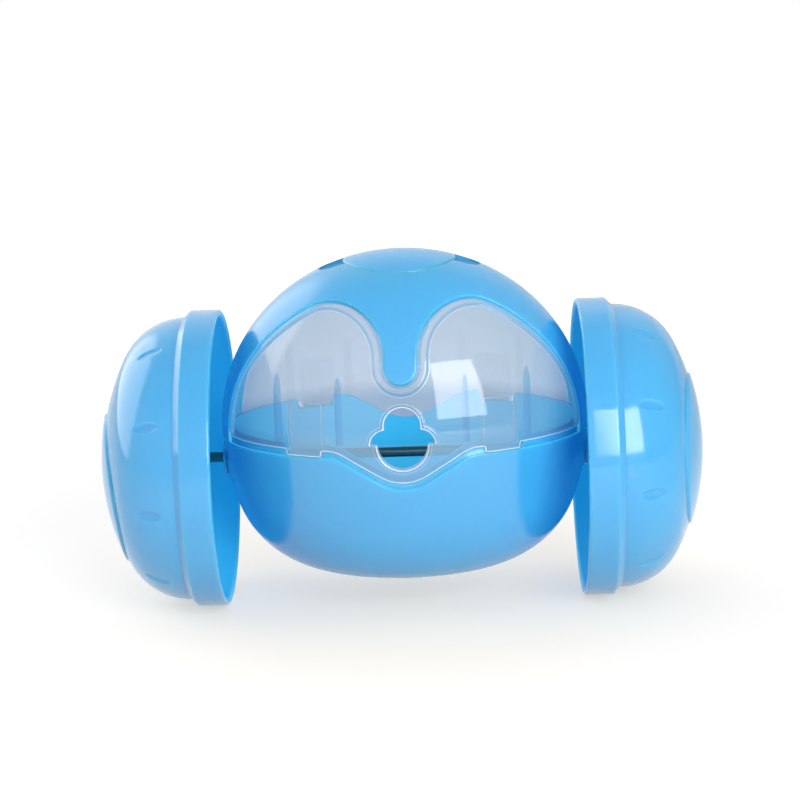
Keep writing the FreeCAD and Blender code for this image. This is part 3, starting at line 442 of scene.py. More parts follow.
def clear_plastic(name, facing, slanted, tint, haze, milky=0.0):
    """Clear plastic: see-through, with a share of gloss and haze that grows from facing to
    slanted. The gloss is set high because only that share of it is left after the mix. The foot
    of the sheet may be milky: bluer, with more haze."""
    material, tree, shader = nodes_of(name)
    ripple(tree, shader, 40.0, 0.015, 0.05, 0.01)
    where = linked(tree, "ShaderNodeTexCoord", {})["Object"]
    height = linked(tree, "ShaderNodeSeparateXYZ", {0: where})["Z"]
    low = ranged(tree, height, (AXLE_Z + MILKY_TOP) * MM, (AXLE_Z + MILKY_FOOT) * MM, 0.0, 1.0)
    wire(tree, shader, {"Base Color": blended(tree, low, haze, MILKY_TINT if milky else haze),
                        "IOR": 1.9, "Specular IOR Level": 1.0})
    slant = linked(tree, "ShaderNodeLayerWeight", {"Blend": 0.3})["Facing"]
    share = ranged(tree, slant, 0.0, 1.0, facing, slanted)
    share = combined(tree, "MULTIPLY_ADD", low, milky, share)
    through = linked(tree, "ShaderNodeBsdfTransparent", {"Color": tint})["BSDF"]
    mix = linked(tree, "ShaderNodeMixShader", {0: share, 1: through, 2: shader.outputs["BSDF"]})
    wire(tree, tree.nodes["Material Output"], {"Surface": mix["Shader"]})
    return material


def steel(name, colour, roughness):
    material, tree, shader = nodes_of(name)
    ripple(tree, shader, 300.0, 0.05, roughness, 0.05)
    wire(tree, shader, {"Base Color": colour, "Metallic": 1.0})
    return material


# Two tints, roughness, index of refraction, share of light that soaks in, painted glow and its
# strength
SKY = (0.060, 0.435, 0.755), (0.068, 0.450, 0.775)
BLUE = {name: blue_plastic("blue_" + name, *values) for name, *values in (
    ("plastic", *SKY, 0.11, 1.8, 1.0), ("body", *SKY, 0.20, 1.8, 1.0),
    ("pad", (0.044, 0.405, 0.775), (0.050, 0.420, 0.795), 0.11, 1.7, 0.0),
    # The scoop finish is a darker, duller blue: painted shade in the finger hollows.
    ("scoop", (0.040, 0.335, 0.670), (0.046, 0.345, 0.685), 0.40, 1.3, 0.0),
    # The wheels' inner sides and the body's cavity are painted lighter than the outside and glow:
    # painted light for what comes through the walls and bounces inside.
    ("inner_side_painted_glow", (0.055, 0.640, 0.955), (0.065, 0.655, 0.965), 0.45, 1.4, 0.0,
     (0.0, 0.45, 1.0), 0.12),
    ("cavity", (0.070, 0.660, 0.955), (0.080, 0.675, 0.965), 0.45, 1.4, 0.0,
     (0.13, 0.90, 1.0), 0.145))}

# Share of haze facing and slanted, tint of what is seen through it, colour of the haze
MILKY_TOP, MILKY_FOOT, MILKY_TINT = 13.5, 8.0, (0.11, 0.44, 0.70)
CLEAR = {name: clear_plastic("clear_" + name, *values) for name, *values in (
    ("plastic", 0.22, 0.55, (0.955, 0.955, 1.000), (0.35, 0.55, 0.60), 0.26),
    ("pad", 0.09, 0.25, (0.960, 0.980, 1.000), (0.36, 0.58, 0.80), 0.26),
    ("faint", 0.01, 0.10, (0.985, 0.990, 1.000), (0.40, 0.52, 0.62)),
    # The rib and bend finishes are tinted blue: a painted reflection of the blue shell in the
    # gussets and the bead's slopes.
    ("rib", 0.05, 0.50, (0.660, 0.870, 0.975), (0.45, 0.68, 0.88)),
    ("bend", 0.12, 0.30, (0.600, 0.810, 0.945), (0.25, 0.50, 0.70)),
    # The edge and line finishes are nearly white haze: painted highlights along cut edges and thin
    # bright lines.
    ("edge", 0.38, 0.65, (0.930, 0.970, 1.000), (0.72, 0.82, 0.92)),
    ("line", 0.75, 0.90, (0.930, 0.970, 1.000), (0.90, 0.94, 0.98)))}
ROD_STEEL = steel("rod_steel", (0.220, 0.200, 0.190), 0.13)
WEIGHT_STEEL = steel("weight_steel", (0.45, 0.45, 0.47), 0.42)
SCREW_STEEL = steel("screw_steel", (0.60, 0.60, 0.62), 0.30)
print(len(BLUE), "blue finishes,", len(CLEAR), "clear ones and 3 steels")

# %% [markdown]
# ## Outlines in the front view
# The window has the outline of a pair of goggles: two lobes, and between them a tongue of the
# blue roof. Its lower edge is level and dips in a rounded V under the outlet. All of it is arcs
# and lines that run into each other, in millimetres from the axle.

# %% The window's outline and the rim's V
TONGUE_HALF, TONGUE_TIP = 4.6, 27.2
LOBE_ARC, TOP_ARC, OUTER_ARC = 13.7, 50.0, 38.0
WINDOW_HALF, OUTER_ANGLE = 49.5, 40.0
RIM_LEVEL, RIM_VEE = 7.3, -1.5
PANE_LEVEL, PANE_VEE = 9.1, 0.2
LIP_LEVEL, LIP_VEE = 10.3, 2.0
TAB_NEAR, TAB_FAR, PAD_FOOT, PAD_TOP = 22.4, 32.2, RIM_LEVEL + 0.1, 22.4
SEAM = 0.12


def arc(centre, radius, start, end, count=None):
    """Points along an arc between two angles in degrees, 0.1 mm apart if not counted."""
    count = count or max(3, int(abs(math.radians(end - start)) * radius / 0.1))
    turn = np.radians(np.linspace(start, end, count))
    return np.stack([centre[0] + radius * np.cos(turn), centre[1] + radius * np.sin(turn)], 1)


def heading(step):
    """Angle of a step in the plane, in degrees."""
    return math.degrees(math.atan2(step[1], step[0]))


def goggle_half(foot):
    """The right half of the outline, from the tongue's tip to the foot's height."""
    outer = np.array([WINDOW_HALF - OUTER_ARC, 9.6])
    bend = math.radians(OUTER_ANGLE)
    top = outer + (OUTER_ARC - TOP_ARC) * np.array([math.cos(bend), math.sin(bend)])
    lobe_x = TONGUE_HALF + LOBE_ARC
    rise = math.sqrt((TOP_ARC - LOBE_ARC) ** 2 - (lobe_x - top[0]) ** 2)
    lobe = np.array([lobe_x, top[1] + rise])
    lobe_turn = heading(lobe - top)
    foot_turn = math.degrees(math.asin((foot - outer[1]) / OUTER_ARC))
    return np.vstack([
        arc((0, TONGUE_TIP + TONGUE_HALF), TONGUE_HALF, -90, 0),
        arc(lobe, LOBE_ARC, 180, lobe_turn),
        arc(top, TOP_ARC, lobe_turn, OUTER_ANGLE),
        arc(outer, OUTER_ARC, OUTER_ANGLE, foot_turn)])


def vee(x, level, bottom, low_arc=12.8, high_arc=9.0, slope=math.radians(30.5)):
    """Height of a level line with a V: an arc at the bottom, a slope, an arc at the shoulder."""
    x = np.abs(x)
    low_x = low_arc * math.sin(slope)
    low_z = bottom + low_arc * (1 - math.cos(slope))
    high_x = low_x + (level - low_z - high_arc * (1 - math.cos(slope))) / math.tan(slope)
    shoulder_x = high_x + high_arc * math.sin(slope)
    bowl = bottom + low_arc - np.sqrt(np.clip(low_arc ** 2 - x ** 2, 0, None))
    straight = low_z + (x - low_x) * math.tan(slope)
    shoulder = level - high_arc + np.sqrt(np.clip(high_arc ** 2 - (x - shoulder_x) ** 2, 0, None))
    return np.select([x < low_x, x < high_x, x < shoulder_x], [bowl, straight, shoulder], level)


def both_hands(half):
    """A closed outline from its right half, which starts and ends on the centre line."""
    left = half[::-1][1:-1] * [-1, 1]
    return np.vstack([half, left])


def on_front(outline):
    """A front-view outline, in millimetres from the axle, laid on the skin."""
    return from_front(outline[:, 0], outline[:, 1] + AXLE_Z)


# %% [markdown]
# ## The windows
# Each window is one clear moulding: a thin pane, a rounded bead along its upper edge, two thick
# pads that snap into the lower shell, and four gussets that stiffen the lower edge. The front
# one also has the outlet with its low lip. The pane is filled between the bead and the lip, and
# the same triangles are used for its back.

# %% The windows' parts
def outlet_half(grow):
    """Right half of the outlet, grown outwards: half a circle with an ear beside it and a lobe
    on top."""
    level, low_r, ear_r, top_r = 11.0, 7.0 + grow, 4.2 + grow, 5.0 + grow
    ear, top = (4.7, level), (0.0, level + 5.2)
    meet = touching_centre(top, top_r, ear, ear_r)
    return np.vstack([arc((0, level), low_r, -90, 0), arc(ear, ear_r, 0, heading(meet - ear)),
                      arc(top, top_r, heading(meet - top), 90)])


def window_loop():
    upper = goggle_half(PANE_LEVEL)
    x = np.arange(upper[-1, 0], 0, -0.1)
    lower = np.stack([x, vee(x, PANE_LEVEL, PANE_VEE)], 1)
    tab = (x > TAB_NEAR) & (x < TAB_FAR)
    lower[tab, 1] = RIM_LEVEL + 0.05
    half = np.vstack([upper, lower, [[0.0, PANE_VEE]]])
    return even_loop(on_front(both_hands(half)), 720, 0.3)


PANE, PAD, RIB, BEND, EDGE, LINE = range(6)
PANE_OUT, PANE_BACK, PAD_BACK = 0.5, 1.85, 3.3
PLAIN_WIDTH, BEAD_EXTRA, BEAD_FADE = 0.22, 2.88, 2.5
GUSSETS = (17.2, 34.2)
BEAD_SHAPE = [(0.0, 0.0), (0.06, 0.15), (0.13, 0.52), (0.2, 0.84), (0.26, 0.93), (0.4, 0.98),
              (0.52, 1.0), (0.62, 0.98), (0.70, 0.93), (0.85, 0.75), (0.96, 0.4), (1.0, 0.0)]
BEAD_SLOTS = [(EDGE, 0, 1), (BEND, 1, 5), (PANE, 5, 9), (BEND, 9, 13), (EDGE, 13, 15),
              (PANE, 15, 16)]
LIP_SLOTS = [(PANE, 0, 1), (EDGE, 1, 3), (PANE, 3, 4), (LINE, 4, 6), (EDGE, 6, 9), (BEND, 9, 13),
             (PANE, 13, 14)]
PAD_SLOTS = [(PAD, 0, 1), (EDGE, 1, 6), (PAD, 6, 7)]


def bead_section(weight):
    """From the pane over the bead and round the edge to the back. Weight is 1 at the bead and 0
    along the plain lower edge."""
    width = PLAIN_WIDTH + BEAD_EXTRA * weight
    start = -SEAM - width - (0.07 + 0.18 * weight)
    bead = [(-SEAM - width * (1 - share), PANE_OUT - PANE_OUT * height * weight)
            for share, height in BEAD_SHAPE]
    edge = [(-SEAM - cut + 0 * weight, depth)
            for cut, depth in ((0, 0.8), (0, 1.7), (0.05, PANE_BACK))]
    return [(start, PANE_OUT)] + bead + edge + [(start, PANE_BACK)]


LIP_SECTION = [(1.45, PANE_OUT), (1.15, PANE_OUT), (1.0, 0.36), (0.8, 0.3), (0.3, 0.3),
               (0.08, 0.38), (0.0, 0.6), (0.0, 2.5), (0.1, 2.72), (0.3, 2.8), (0.85, 2.8),
               (1.05, 2.65), (1.1, 2.3), (1.1, PANE_BACK + 0.05), (1.45, PANE_BACK)]


def plate(outline, top, back, edge=0.3, step=1.2):
    """A pad pressed on the form between two depths, with its edges rounded over."""
    loop = even_loop(on_front(outline), 160, 0.75)
    way = side_way(loop)
    rings = edge_rings(loop, way, [(-edge - 0.2, top), (-edge, top), (-0.1, top + 0.08),
                                   (0.0, top + edge), (0.0, back - edge), (-0.1, back - 0.08),
                                   (-edge, back), (-edge - 0.2, back)])
    flat = filled([flat_layout(beside(loop, way, -edge - 0.2))], step)
    return [by_rows(rings, PAD_SLOTS)] + [(*face, PAD) for face in sheets(*flat, top, back)]


def gusset(x, wide=1.8, foot=10.6, top=28.6, deep=5.0):
    """A pointed rib: an eight-sided section, shallower towards the top, where it narrows."""
    share = np.linspace(0, 1, 24)[:, None]
    z = AXLE_Z + foot + (top - foot) * share
    outer = from_front(np.full_like(z, x), z, PANE_BACK - 0.05)[..., 1]
    reach = 0.15 + deep * (1 - share)
    narrowing = np.sqrt(1 - np.clip((share - 0.75) / 0.25, 0, 0.99) ** 2)
    across = wide / 2 * np.array([-0.7, 0.7, 1, 1, 0.7, -0.7, -1, -1])[None] * narrowing
    depth = np.array([0, 0, 0.03, 0.97, 1, 1, 0.97, 0.03])[None]
    grid = np.stack([x + across + 0 * z, outer + reach * depth, z + 0 * across], -1)
    caps = [(grid[row], np.array([[0, 1, 2, 7], [7, 2, 3, 6], [6, 3, 4, 5]])) for row in (0, -1)]
    return [(*part, RIB) for part in [grid_part(grid)] + caps]


def window_parts(with_outlet):
    loop = window_loop()
    way = side_way(loop)
    weight = np.clip((loop[:, 2] - AXLE_Z - PANE_LEVEL - 0.2) / BEAD_FADE, 0, 1)
    weight = weight ** 2 * (3 - 2 * weight)
    section = bead_section(weight)
    parts = [by_rows(edge_rings(loop, way, section), BEAD_SLOTS)]
    # Where the bead has run out, its rows are painted as one thin bright line, a painted highlight.
    parts[0][2].reshape(-1, len(loop))[1:13, weight < 0.1] = LINE
    borders = [beside(loop, way, section[0][0])]
    if with_outlet:
        lips = [even_loop(on_front(both_hands(outlet_half(grow))), 200, 0.2)
                for grow, _ in LIP_SECTION]
        grid = np.array([pressed(lip, inset) for lip, (_, inset) in zip(lips, LIP_SECTION)])
        parts.append(by_rows(grid, LIP_SLOTS))
        borders.append(lips[0])
    flat = filled([flat_layout(border) for border in borders], 1.0)
    parts += sheets(*flat, PANE_OUT, PANE_BACK)
    for hand in (1, -1):
        near, far = sorted((hand * TAB_NEAR, hand * TAB_FAR))
        pad = [(near, PAD_FOOT), (far, PAD_FOOT), (far, PAD_TOP), (near, PAD_TOP)]
        parts += plate(np.array(pad), PANE_BACK - 0.05, PAD_BACK)
        for x in GUSSETS:
            parts += gusset(hand * x)
    return parts


FRONT_FINISH = [CLEAR[name] for name in ("plastic", "pad", "rib", "bend", "edge", "line")]
REAR_FINISH = [CLEAR[name] for name in ("plastic", "faint", "faint", "bend", "faint", "edge")]
add_piece("front_pane", window_parts(True), FRONT_FINISH, "body", "front_window")
add_piece("rear_pane", [mirrored(part, 1) for part in window_parts(False)], REAR_FINISH, "body",
          "rear_window")

# %% [markdown]
# ## The roof
# The upper shell is the rest of the form above the parting line: it frames both windows and
# holds the lid. One quarter is made and mirrored twice, so the piece is as even as its mould.
# Two finger scoops beside the lid are dished by adding a hollow to the depth, and their faces are
# painted darker as painted shade in the hollows.

# %% The upper shell
MOUTH_RADIUS, MOUTH_DEPTH = 16.12, 1.9
SCOOP_X, SCOOP_LONG, SCOOP_WIDE, SCOOP_DEEP, SCOOP_ROUNDING = 16.6, 6.3, 6.4, 1.8, 0.4


def scoop_depth(points):
    """Depth of the finger scoops: a hollow with steep sides, zero outside its oval."""
    aside = (np.abs(points[..., 0]) - SCOOP_X) / SCOOP_LONG
    reach = aside ** 2 + (points[..., 1] / SCOOP_WIDE) ** 2
    return SCOOP_DEEP * np.clip(1 - reach, 0, 1) ** SCOOP_ROUNDING


def roof_point(x, y, inset):
    """Point on the roof, from its place in a plan view."""
    across = (x / (HALF_WIDTH - inset)) ** 2 + (y / (HALF_WIDTH * FLATTENING - inset)) ** 2
    return np.stack([x, y, EQUATOR_Z + (CROWN - inset) * np.sqrt(1 - across)], -1)


def roof_edge_quarter():
    """Loop round the roof's lower edge: along the parting line, then up round the windows."""
    foot = goggle_half(RIM_LEVEL)[::-1]
    ring = radius_at(np.array(AXLE_Z + RIM_LEVEL))
    turn = np.linspace(0, math.acos(foot[0, 0] / ring), 150)
    climb = np.full_like(turn, (RIM_LEVEL + AXLE_Z - EQUATOR_Z) / CROWN)
    quarter = np.vstack([skin(turn, climb), on_front(foot)[1:]])
    to_left = quarter[::-1][1:] * [-1, 1, 1]
    front = np.vstack([quarter, to_left])
    rear = front[::-1][1:-1] * [1, -1, 1]
    return np.vstack([front, rear])


def roof_parts():
    count = 1200
    loop = even_loop(roof_edge_quarter(), count, 0.3)
    quarter = slice(0, count // 4 + 1)
    way = -side_way(loop)
    way *= np.sign((way * [0, 0, 1]).sum())
    section = [(0.25, 0.0), (0.16, 0.03), (0.06, 0.11), (0.0, 0.26), (0.0, 1.75), (0.06, 1.93),
               (0.25, 2.0)]
    rings = edge_rings(loop[quarter], way[quarter], section)
    edge = quarter_grid(rings)
    turn = np.radians(np.linspace(0, 90, 70))
    border = roof_point(*(MOUTH_RADIUS + 0.75) * np.stack([np.cos(turn), -np.sin(turn)]), 0.0)
    mouth = [pressed(border, scoop_depth(border))]
    for grow, inset in [(0.55, 0.0), (0.3, 0.06), (0.1, 0.24), (0.0, 0.5), (0.0, MOUTH_DEPTH)]:
        x, y = (MOUTH_RADIUS + grow) * np.cos(turn), -(MOUTH_RADIUS + grow) * np.sin(turn)
        dish = scoop_depth(np.stack([x, y], -1))
        mouth.append(roof_point(x, y, dish + (MOUTH_DEPTH - dish) * inset / MOUTH_DEPTH))
    mouth.append(pressed(border, WALL))
    outer, inner = flat_layout(rings[0]), flat_layout(border)
    share = np.linspace(0, 1, 102)[1:-1, None]
    front_line = outer[-1] + (inner[-1] - outer[-1]) * share
    side_line = inner[0] + (outer[0] - inner[0]) * share
    angle = np.radians(np.arange(2, 180, 2.0))[:, None]
    reach = np.array([0.5, 0.7, 0.82, 0.9, 0.95, 0.98, 1.0, 1.03, 1.07])[None]
    oval_x = SCOOP_X + SCOOP_LONG * reach * np.cos(angle)
    oval_y = -SCOOP_WIDE * reach * np.sin(angle)
    oval = flat_layout(roof_point(oval_x.ravel(), oval_y.ravel(), 0.0))
    points, triangles = filled([np.vstack([outer, front_line, inner[::-1], side_line])], 0.75, oval)
    dish = scoop_depth(sheets(points, triangles, 0.0)[0][0])
    # Faces in the scoops take the darker scoop finish, a painted shade.
    in_scoop = dish[triangles].max(1) > 0
    outside, inside = sheets(points, triangles, dish, WALL)
    for face, _ in (outside, inside):
        face[np.abs(face) < 1e-3] = 0.0
    return four_quarters([edge, quarter_grid(np.array(mouth)),
                          (*outside, np.where(in_scoop, EXTRA, OUTER)), inside])


def circles(corners, sides):
    """Circles round the upright axis, from the radius and height of each corner. A height of
    zero or less is a depth under the roof's face."""
    turn = np.linspace(0, 2 * np.pi, sides, endpoint=False)
    rows = []
    for radius, height in corners:
        x, y = radius * np.cos(turn), radius * np.sin(turn)
        level = np.stack([x, y, np.full_like(x, height)], -1)
        rows.append(level if height > 0 else roof_point(x, y, -height))
    return grid_part(np.array(rows))


COLLAR_IN, COLLAR_OUT, COLLAR_FOOT = 14.4, 18.2, AXLE_Z + 47.0
collar = circles([(COLLAR_IN, COLLAR_FOOT), (COLLAR_IN, -2.3), (14.7, -1.9), (COLLAR_OUT, -1.95),
                  (COLLAR_OUT, COLLAR_FOOT), (COLLAR_IN, COLLAR_FOOT)], 180)
SHELL_FINISH = (BLUE["body"], BLUE["cavity"], BLUE["scoop"])
BODY_MIDDLE = (0.0, 0.0, EQUATOR_Z)
add_piece("roof", roof_parts() + [collar], SHELL_FINISH, "body", "upper_shell",
          inside=BODY_MIDDLE)

# %% [markdown]
# ## The belly
# The lower shell is a grid of rings. Each ring follows the rim's line in the front view at one
# depth: over the rim, along the ledge under the window, up the inner lip and down again.
# Under the rim the rows run down the profile to the pole. The lip and the ledge are notched
# where the windows' snap pads sit.

# %% The lower shell
STEP_DEEP, LIP_BACK, LIP_FOOT = 0.9, 3.4, -4.5
LEG_X = 49.4


def rim_line(x):
    return vee(x, RIM_LEVEL, RIM_VEE)


def notched(line, x):
    """A line's height, dropped to the rim where a snap pad sits."""
    x = np.abs(x)
    in_notch = (x > TAB_NEAR - SEAM) & (x < TAB_FAR + SEAM)
    return np.where(in_notch, rim_line(x), line)


def ledge_line(x):
    line = notched(vee(x, PANE_LEVEL, PANE_VEE) - 0.1, x)
    return np.where(np.abs(x) > LEG_X, rim_line(x), line)


def lip_line(x):
    return notched(vee(x, LIP_LEVEL, LIP_VEE), x)


def rim_ring(turn, line, lower, inset):
    """Ring at one depth whose height follows a front-view line, lowered by a set amount."""
    z = np.full_like(turn, AXLE_Z + RIM_LEVEL)
    for _ in range(40):
        z = AXLE_Z + line(radius_at(z, inset) * np.cos(turn)) - lower
    return on_ring(turn, z, inset)


def belly_rows(start, turn, inset, rows):
    """Rows from a ring down to the pole, at even steps along the belly's profile."""
    z = EQUATOR_Z - (BELLY_DEPTH - inset) * np.sin(np.linspace(0, np.pi / 2, 4000))
    ring = radius_at(z - 1e-9, inset)
    ring[-1] = 0.0
    along = np.concatenate([[0], np.cumsum(np.hypot(np.diff(ring), np.diff(z)))])
    first = np.interp(-start[:, 2], -z, along)
    place = first + (along[-1] - first) * np.linspace(0, 1, rows)[1:, None]
    return on_ring(turn, np.interp(place, along, z), inset, np.interp(place, along, ring))


def quarter_turns():
    """Angles over a quarter, with a close pair on each side of a notch and of a leg."""
    ring = radius_at(np.array(AXLE_Z + RIM_LEVEL), 1.5)
    even = np.radians(np.linspace(0, 90, 150))
    marks = np.array([TAB_NEAR - SEAM, TAB_FAR + SEAM, LEG_X])
    pairs = np.arccos(np.concatenate([marks - 0.05, marks + 0.05]) / ring)
    clear = np.abs(even[:, None] - pairs[None]).min(1) > 0.004
    return np.sort(np.concatenate([even[clear], pairs]))


def belly_parts():
    turn = quarter_turns()
    rings = [rim_ring(turn, line, lower, inset) for line, corners in (
        (rim_line, [(0.4, 0.0), (0.2, 0.03), (0.06, 0.1), (0.0, 0.28), (0.0, STEP_DEEP)]),
        (ledge_line, [(0.12, STEP_DEEP), (0.0, 1.05), (0.0, WALL)]),
        (lip_line, [(0.2, WALL + 0.02), (0.03, 2.12), (0.0, 2.3), (0.0, 3.1), (0.05, 3.3),
                    (0.25, LIP_BACK)])) for lower, inset in corners]
    foot = np.full_like(turn, AXLE_Z + LIP_FOOT)
    rings += [on_ring(turn, foot, LIP_BACK), on_ring(turn, foot - 1.4, WALL)]
    outside = belly_rows(rings[0], turn, 0.0, 70)
    inside = belly_rows(rings[-1], turn, WALL, 40)
    return four_quarters([quarter_grid(np.concatenate([outside[::-1], rings, inside]))])


def turned(profile, turns, hand=1):
    """A profile of distance along X and radius, turned round the axle."""
    x, radius = profile[:, :1], profile[:, 1:]
    return grid_part(np.stack([hand * (x + 0 * turns), -radius * np.sin(turns),
                               AXLE_Z + radius * np.cos(turns)], -1))


EVEN_TURNS = np.linspace(0, 2 * np.pi, 96, endpoint=False)
WEIGHT_FLOOR = node_box("counterweight")[0][2]
WELL_TOP = node_box("weight_cover")[0][2] - 0.02
boss = np.array([(46.0, 3.2), (46.0, 5.1), (46.4, 5.5), (51.0, 5.5), (51.0, 3.2), (46.0, 3.2)])
bosses = [turned(boss, EVEN_TURNS, hand) for hand in (1, -1)]
WELL_IN, WELL_OUT = 18.2, 20.0
well = circles([(WELL_IN, WEIGHT_FLOOR - 2), (WELL_OUT, WEIGHT_FLOOR - 2), (WELL_OUT, WELL_TOP),
                (WELL_IN, WELL_TOP), (WELL_IN, WEIGHT_FLOOR - 2)], 180)
add_piece("belly", belly_parts() + bosses + [well], SHELL_FINISH, "body", "lower_shell",
          inside=BODY_MIDDLE)

# %% [markdown]
# ## The lid
# A round cap that carries on the roof's curve, with a short skirt that plugs into the roof's
# collar. Rows of circles run from the middle over the rounded edge and down the skirt.

# %% The lid
LID_RADIUS, LID_WALL = 15.92, 1.6
SKIRT_OUT, SKIRT_IN, SKIRT_FOOT = 14.1, 12.7, AXLE_Z + 48.5
lid_rows = [(radius, 0.0) for radius in np.linspace(0, LID_RADIUS - 0.55, 30)]
lid_rows += [(LID_RADIUS - cut, -depth) for cut, depth in (
    (0.32, 0.035), (0.15, 0.12), (0.04, 0.27), (0, 0.48), (0, LID_WALL - 0.15), (0.15, LID_WALL))]
lid_rows += [(SKIRT_OUT, -LID_WALL), (SKIRT_OUT, SKIRT_FOOT + 0.3), (SKIRT_OUT - 0.3, SKIRT_FOOT),
             (SKIRT_IN + 0.3, SKIRT_FOOT), (SKIRT_IN, SKIRT_FOOT + 0.3), (SKIRT_IN, -LID_WALL)]
lid_rows += [(radius, -LID_WALL) for radius in np.linspace(SKIRT_IN - 0.4, 0, 8)]
add_piece("lid", [circles(lid_rows, 200)], SHELL_FINISH, "lid", "fill_lid", inside=BODY_MIDDLE)

# %% [markdown]
# ## The wheels
# A wheel is a bowl turned round the axle: a straight band at the rim, a small step, a shoulder
# that bends over into a shallow dome, and the same again inside. Ten thumb-nail scoops are
# pressed into the shoulder. The round pad on the dome sits off centre, so it is a cap of its
# own, sunk a little into the dome.

# %% Wheel profile and scoops
BAND_END, SHOULDER_X, SHOULDER_RADIUS = 59.2, 60.7, 40.85
BEND_ARC, DOME_ARC, DOME_APEX, WHEEL_WALL = 19.0, 66.0, 85.3, 2.0
DOME_CENTRE = DOME_APEX - DOME_ARC
BEND_R = SHOULDER_RADIUS - 0.25 - BEND_ARC
BEND_X = DOME_CENTRE + math.sqrt((DOME_ARC - BEND_ARC) ** 2 - BEND_R ** 2)
BEND_TURN = heading((BEND_X - DOME_CENTRE, BEND_R))
HUB_FACE, HUB_FLOOR, HUB_RADIUS, HUB_ROOT, BORE = 56.0, 79.5, 4.5, 7.5, 1.55
NAIL_COUNT, NAIL_X, NAIL_RING, NAIL_LONG, NAIL_WIDE, NAIL_DEEP = 10, 68.6, 39.0, 3.7, 1.5, 0.65
PERIOD = 2 * np.pi / NAIL_COUNT
PAD_RADIUS, PAD_OFFSET, PAD_STEP = 21.3, 8.5, 0.6


def around(x, y, *steps):
    """Points of a section near a corner, from their steps in both directions."""
    return np.array(steps) + (x, y)


def wheel_section():
    """Outline of the wall, from the hub's bore over the inside, the rim and the outside."""
    inner_dome, inner_bend = DOME_ARC - WHEEL_WALL, BEND_ARC - WHEEL_WALL
    inner_rim, inner_shoulder = RIM_RADIUS - WHEEL_WALL, SHOULDER_RADIUS - 0.25 - WHEEL_WALL
    root_turn = math.degrees(math.asin(HUB_ROOT / inner_dome))
    dome = arc((DOME_CENTRE, 0), inner_dome, root_turn, BEND_TURN, 26)
    inside = [
        around(HUB_FLOOR, 0, (0, 0), (0, BORE)),
        around(HUB_FACE, 0, (0.2, BORE), (0, BORE + 0.2), (0, HUB_RADIUS - 0.3), (0.3, HUB_RADIUS)),
        around(dome[0, 0], HUB_RADIUS, (-6, 0.6), (-3, 1.1), (-1.2, 1.9)),
        dome, arc((BEND_X, BEND_R), inner_bend, BEND_TURN, 90, 14)[1:],
        [(SHOULDER_X - 0.1, inner_shoulder), (BAND_END - 1.2, inner_rim)],
        around(OPENING_X, inner_rim, (1, 0), (0.45, 0.12), (0.1, 0.45), (0, 0.9))]
    band = [
        around(OPENING_X, RIM_RADIUS, (0, -0.85), (0.08, -0.42), (0.38, -0.1), (0.85, 0)),
        [(x, RIM_RADIUS) for x in np.linspace(OPENING_X + 2, BAND_END - 0.5, 6)],
        around(BAND_END, RIM_RADIUS, (-0.12, -0.02), (0.02, -0.1), (0.12, -0.24)),
        around(SHOULDER_X, SHOULDER_RADIUS, (-0.12, 0.1), (0.02, -0.06), (0.2, -0.19))]
    outside = [arc((BEND_X, BEND_R), BEND_ARC, 90, BEND_TURN, 46),
               arc((DOME_CENTRE, 0), DOME_ARC, BEND_TURN, 0, 44)[1:]]
    return np.vstack(inside + band + outside)


def wheel_turns(first):
    """Angles round a wheel, close together at the scoops and wider between them."""
    close = np.linspace(-NAIL_WIDE - 0.4, NAIL_WIDE + 0.4, 22) / NAIL_RING
    wide = np.linspace(close[-1], PERIOD + close[0], 14)[1:-1]
    once = np.concatenate([close, wide])
    return first + (np.arange(NAIL_COUNT)[:, None] * PERIOD + once).ravel()


def press_scoops(points, hand, first):
    """Moves the shoulder's points in, by an oval hollow at each of ten places."""
    x, y, z = hand * points[:, 0], points[:, 1], points[:, 2] - AXLE_Z
    radius = np.hypot(y, z)
    turn = np.mod(np.arctan2(-y, z) - first + PERIOD / 2, PERIOD) - PERIOD / 2
    along = (x - NAIL_X) * 1.06
    reach = (along / NAIL_LONG) ** 2 + (turn * radius / NAIL_WIDE) ** 2
    outside = (np.hypot(x - BEND_X, radius - BEND_R) > BEND_ARC - 0.05) | (x > NAIL_X + 20)
    deep = NAIL_DEEP * np.sqrt(np.clip(1 - reach, 0, 1)) * outside
    out = (radius - BEND_R) / np.maximum(radius, 1e-6)
    normal = np.stack([hand * (x - BEND_X), out * y, out * z], 1)
    normal /= np.maximum(np.linalg.norm(normal, axis=1, keepdims=True), 1e-6)
    return points - normal * deep[:, None]


def dome_pad(hand, angle):
    """The raised pad: circles round its own centre, lifted on to a larger sphere."""
    turn = np.linspace(0, 2 * np.pi, 240, endpoint=False)
    centre_y, centre_z = -PAD_OFFSET * math.sin(angle), PAD_OFFSET * math.cos(angle)
    flat = [(radius, PAD_STEP) for radius in np.linspace(0, PAD_RADIUS - 0.45, 36)]
    edge = around(PAD_RADIUS, PAD_STEP, (-0.22, -0.04), (-0.06, -0.18), (0, -0.42), (0.05, -0.48),
                  (0.3, -0.65), (-0.5, -1.2), (-PAD_RADIUS, -1.2))
    grid = []
    for radius, lift in np.vstack([flat, edge]):
        y = centre_y + radius * np.cos(turn)
        z = centre_z + radius * np.sin(turn)
        x = DOME_CENTRE + np.sqrt((DOME_ARC + lift) ** 2 - y ** 2 - z ** 2)
        grid.append(np.stack([hand * x, y, z + AXLE_Z], -1))
    return grid_part(np.array(grid))


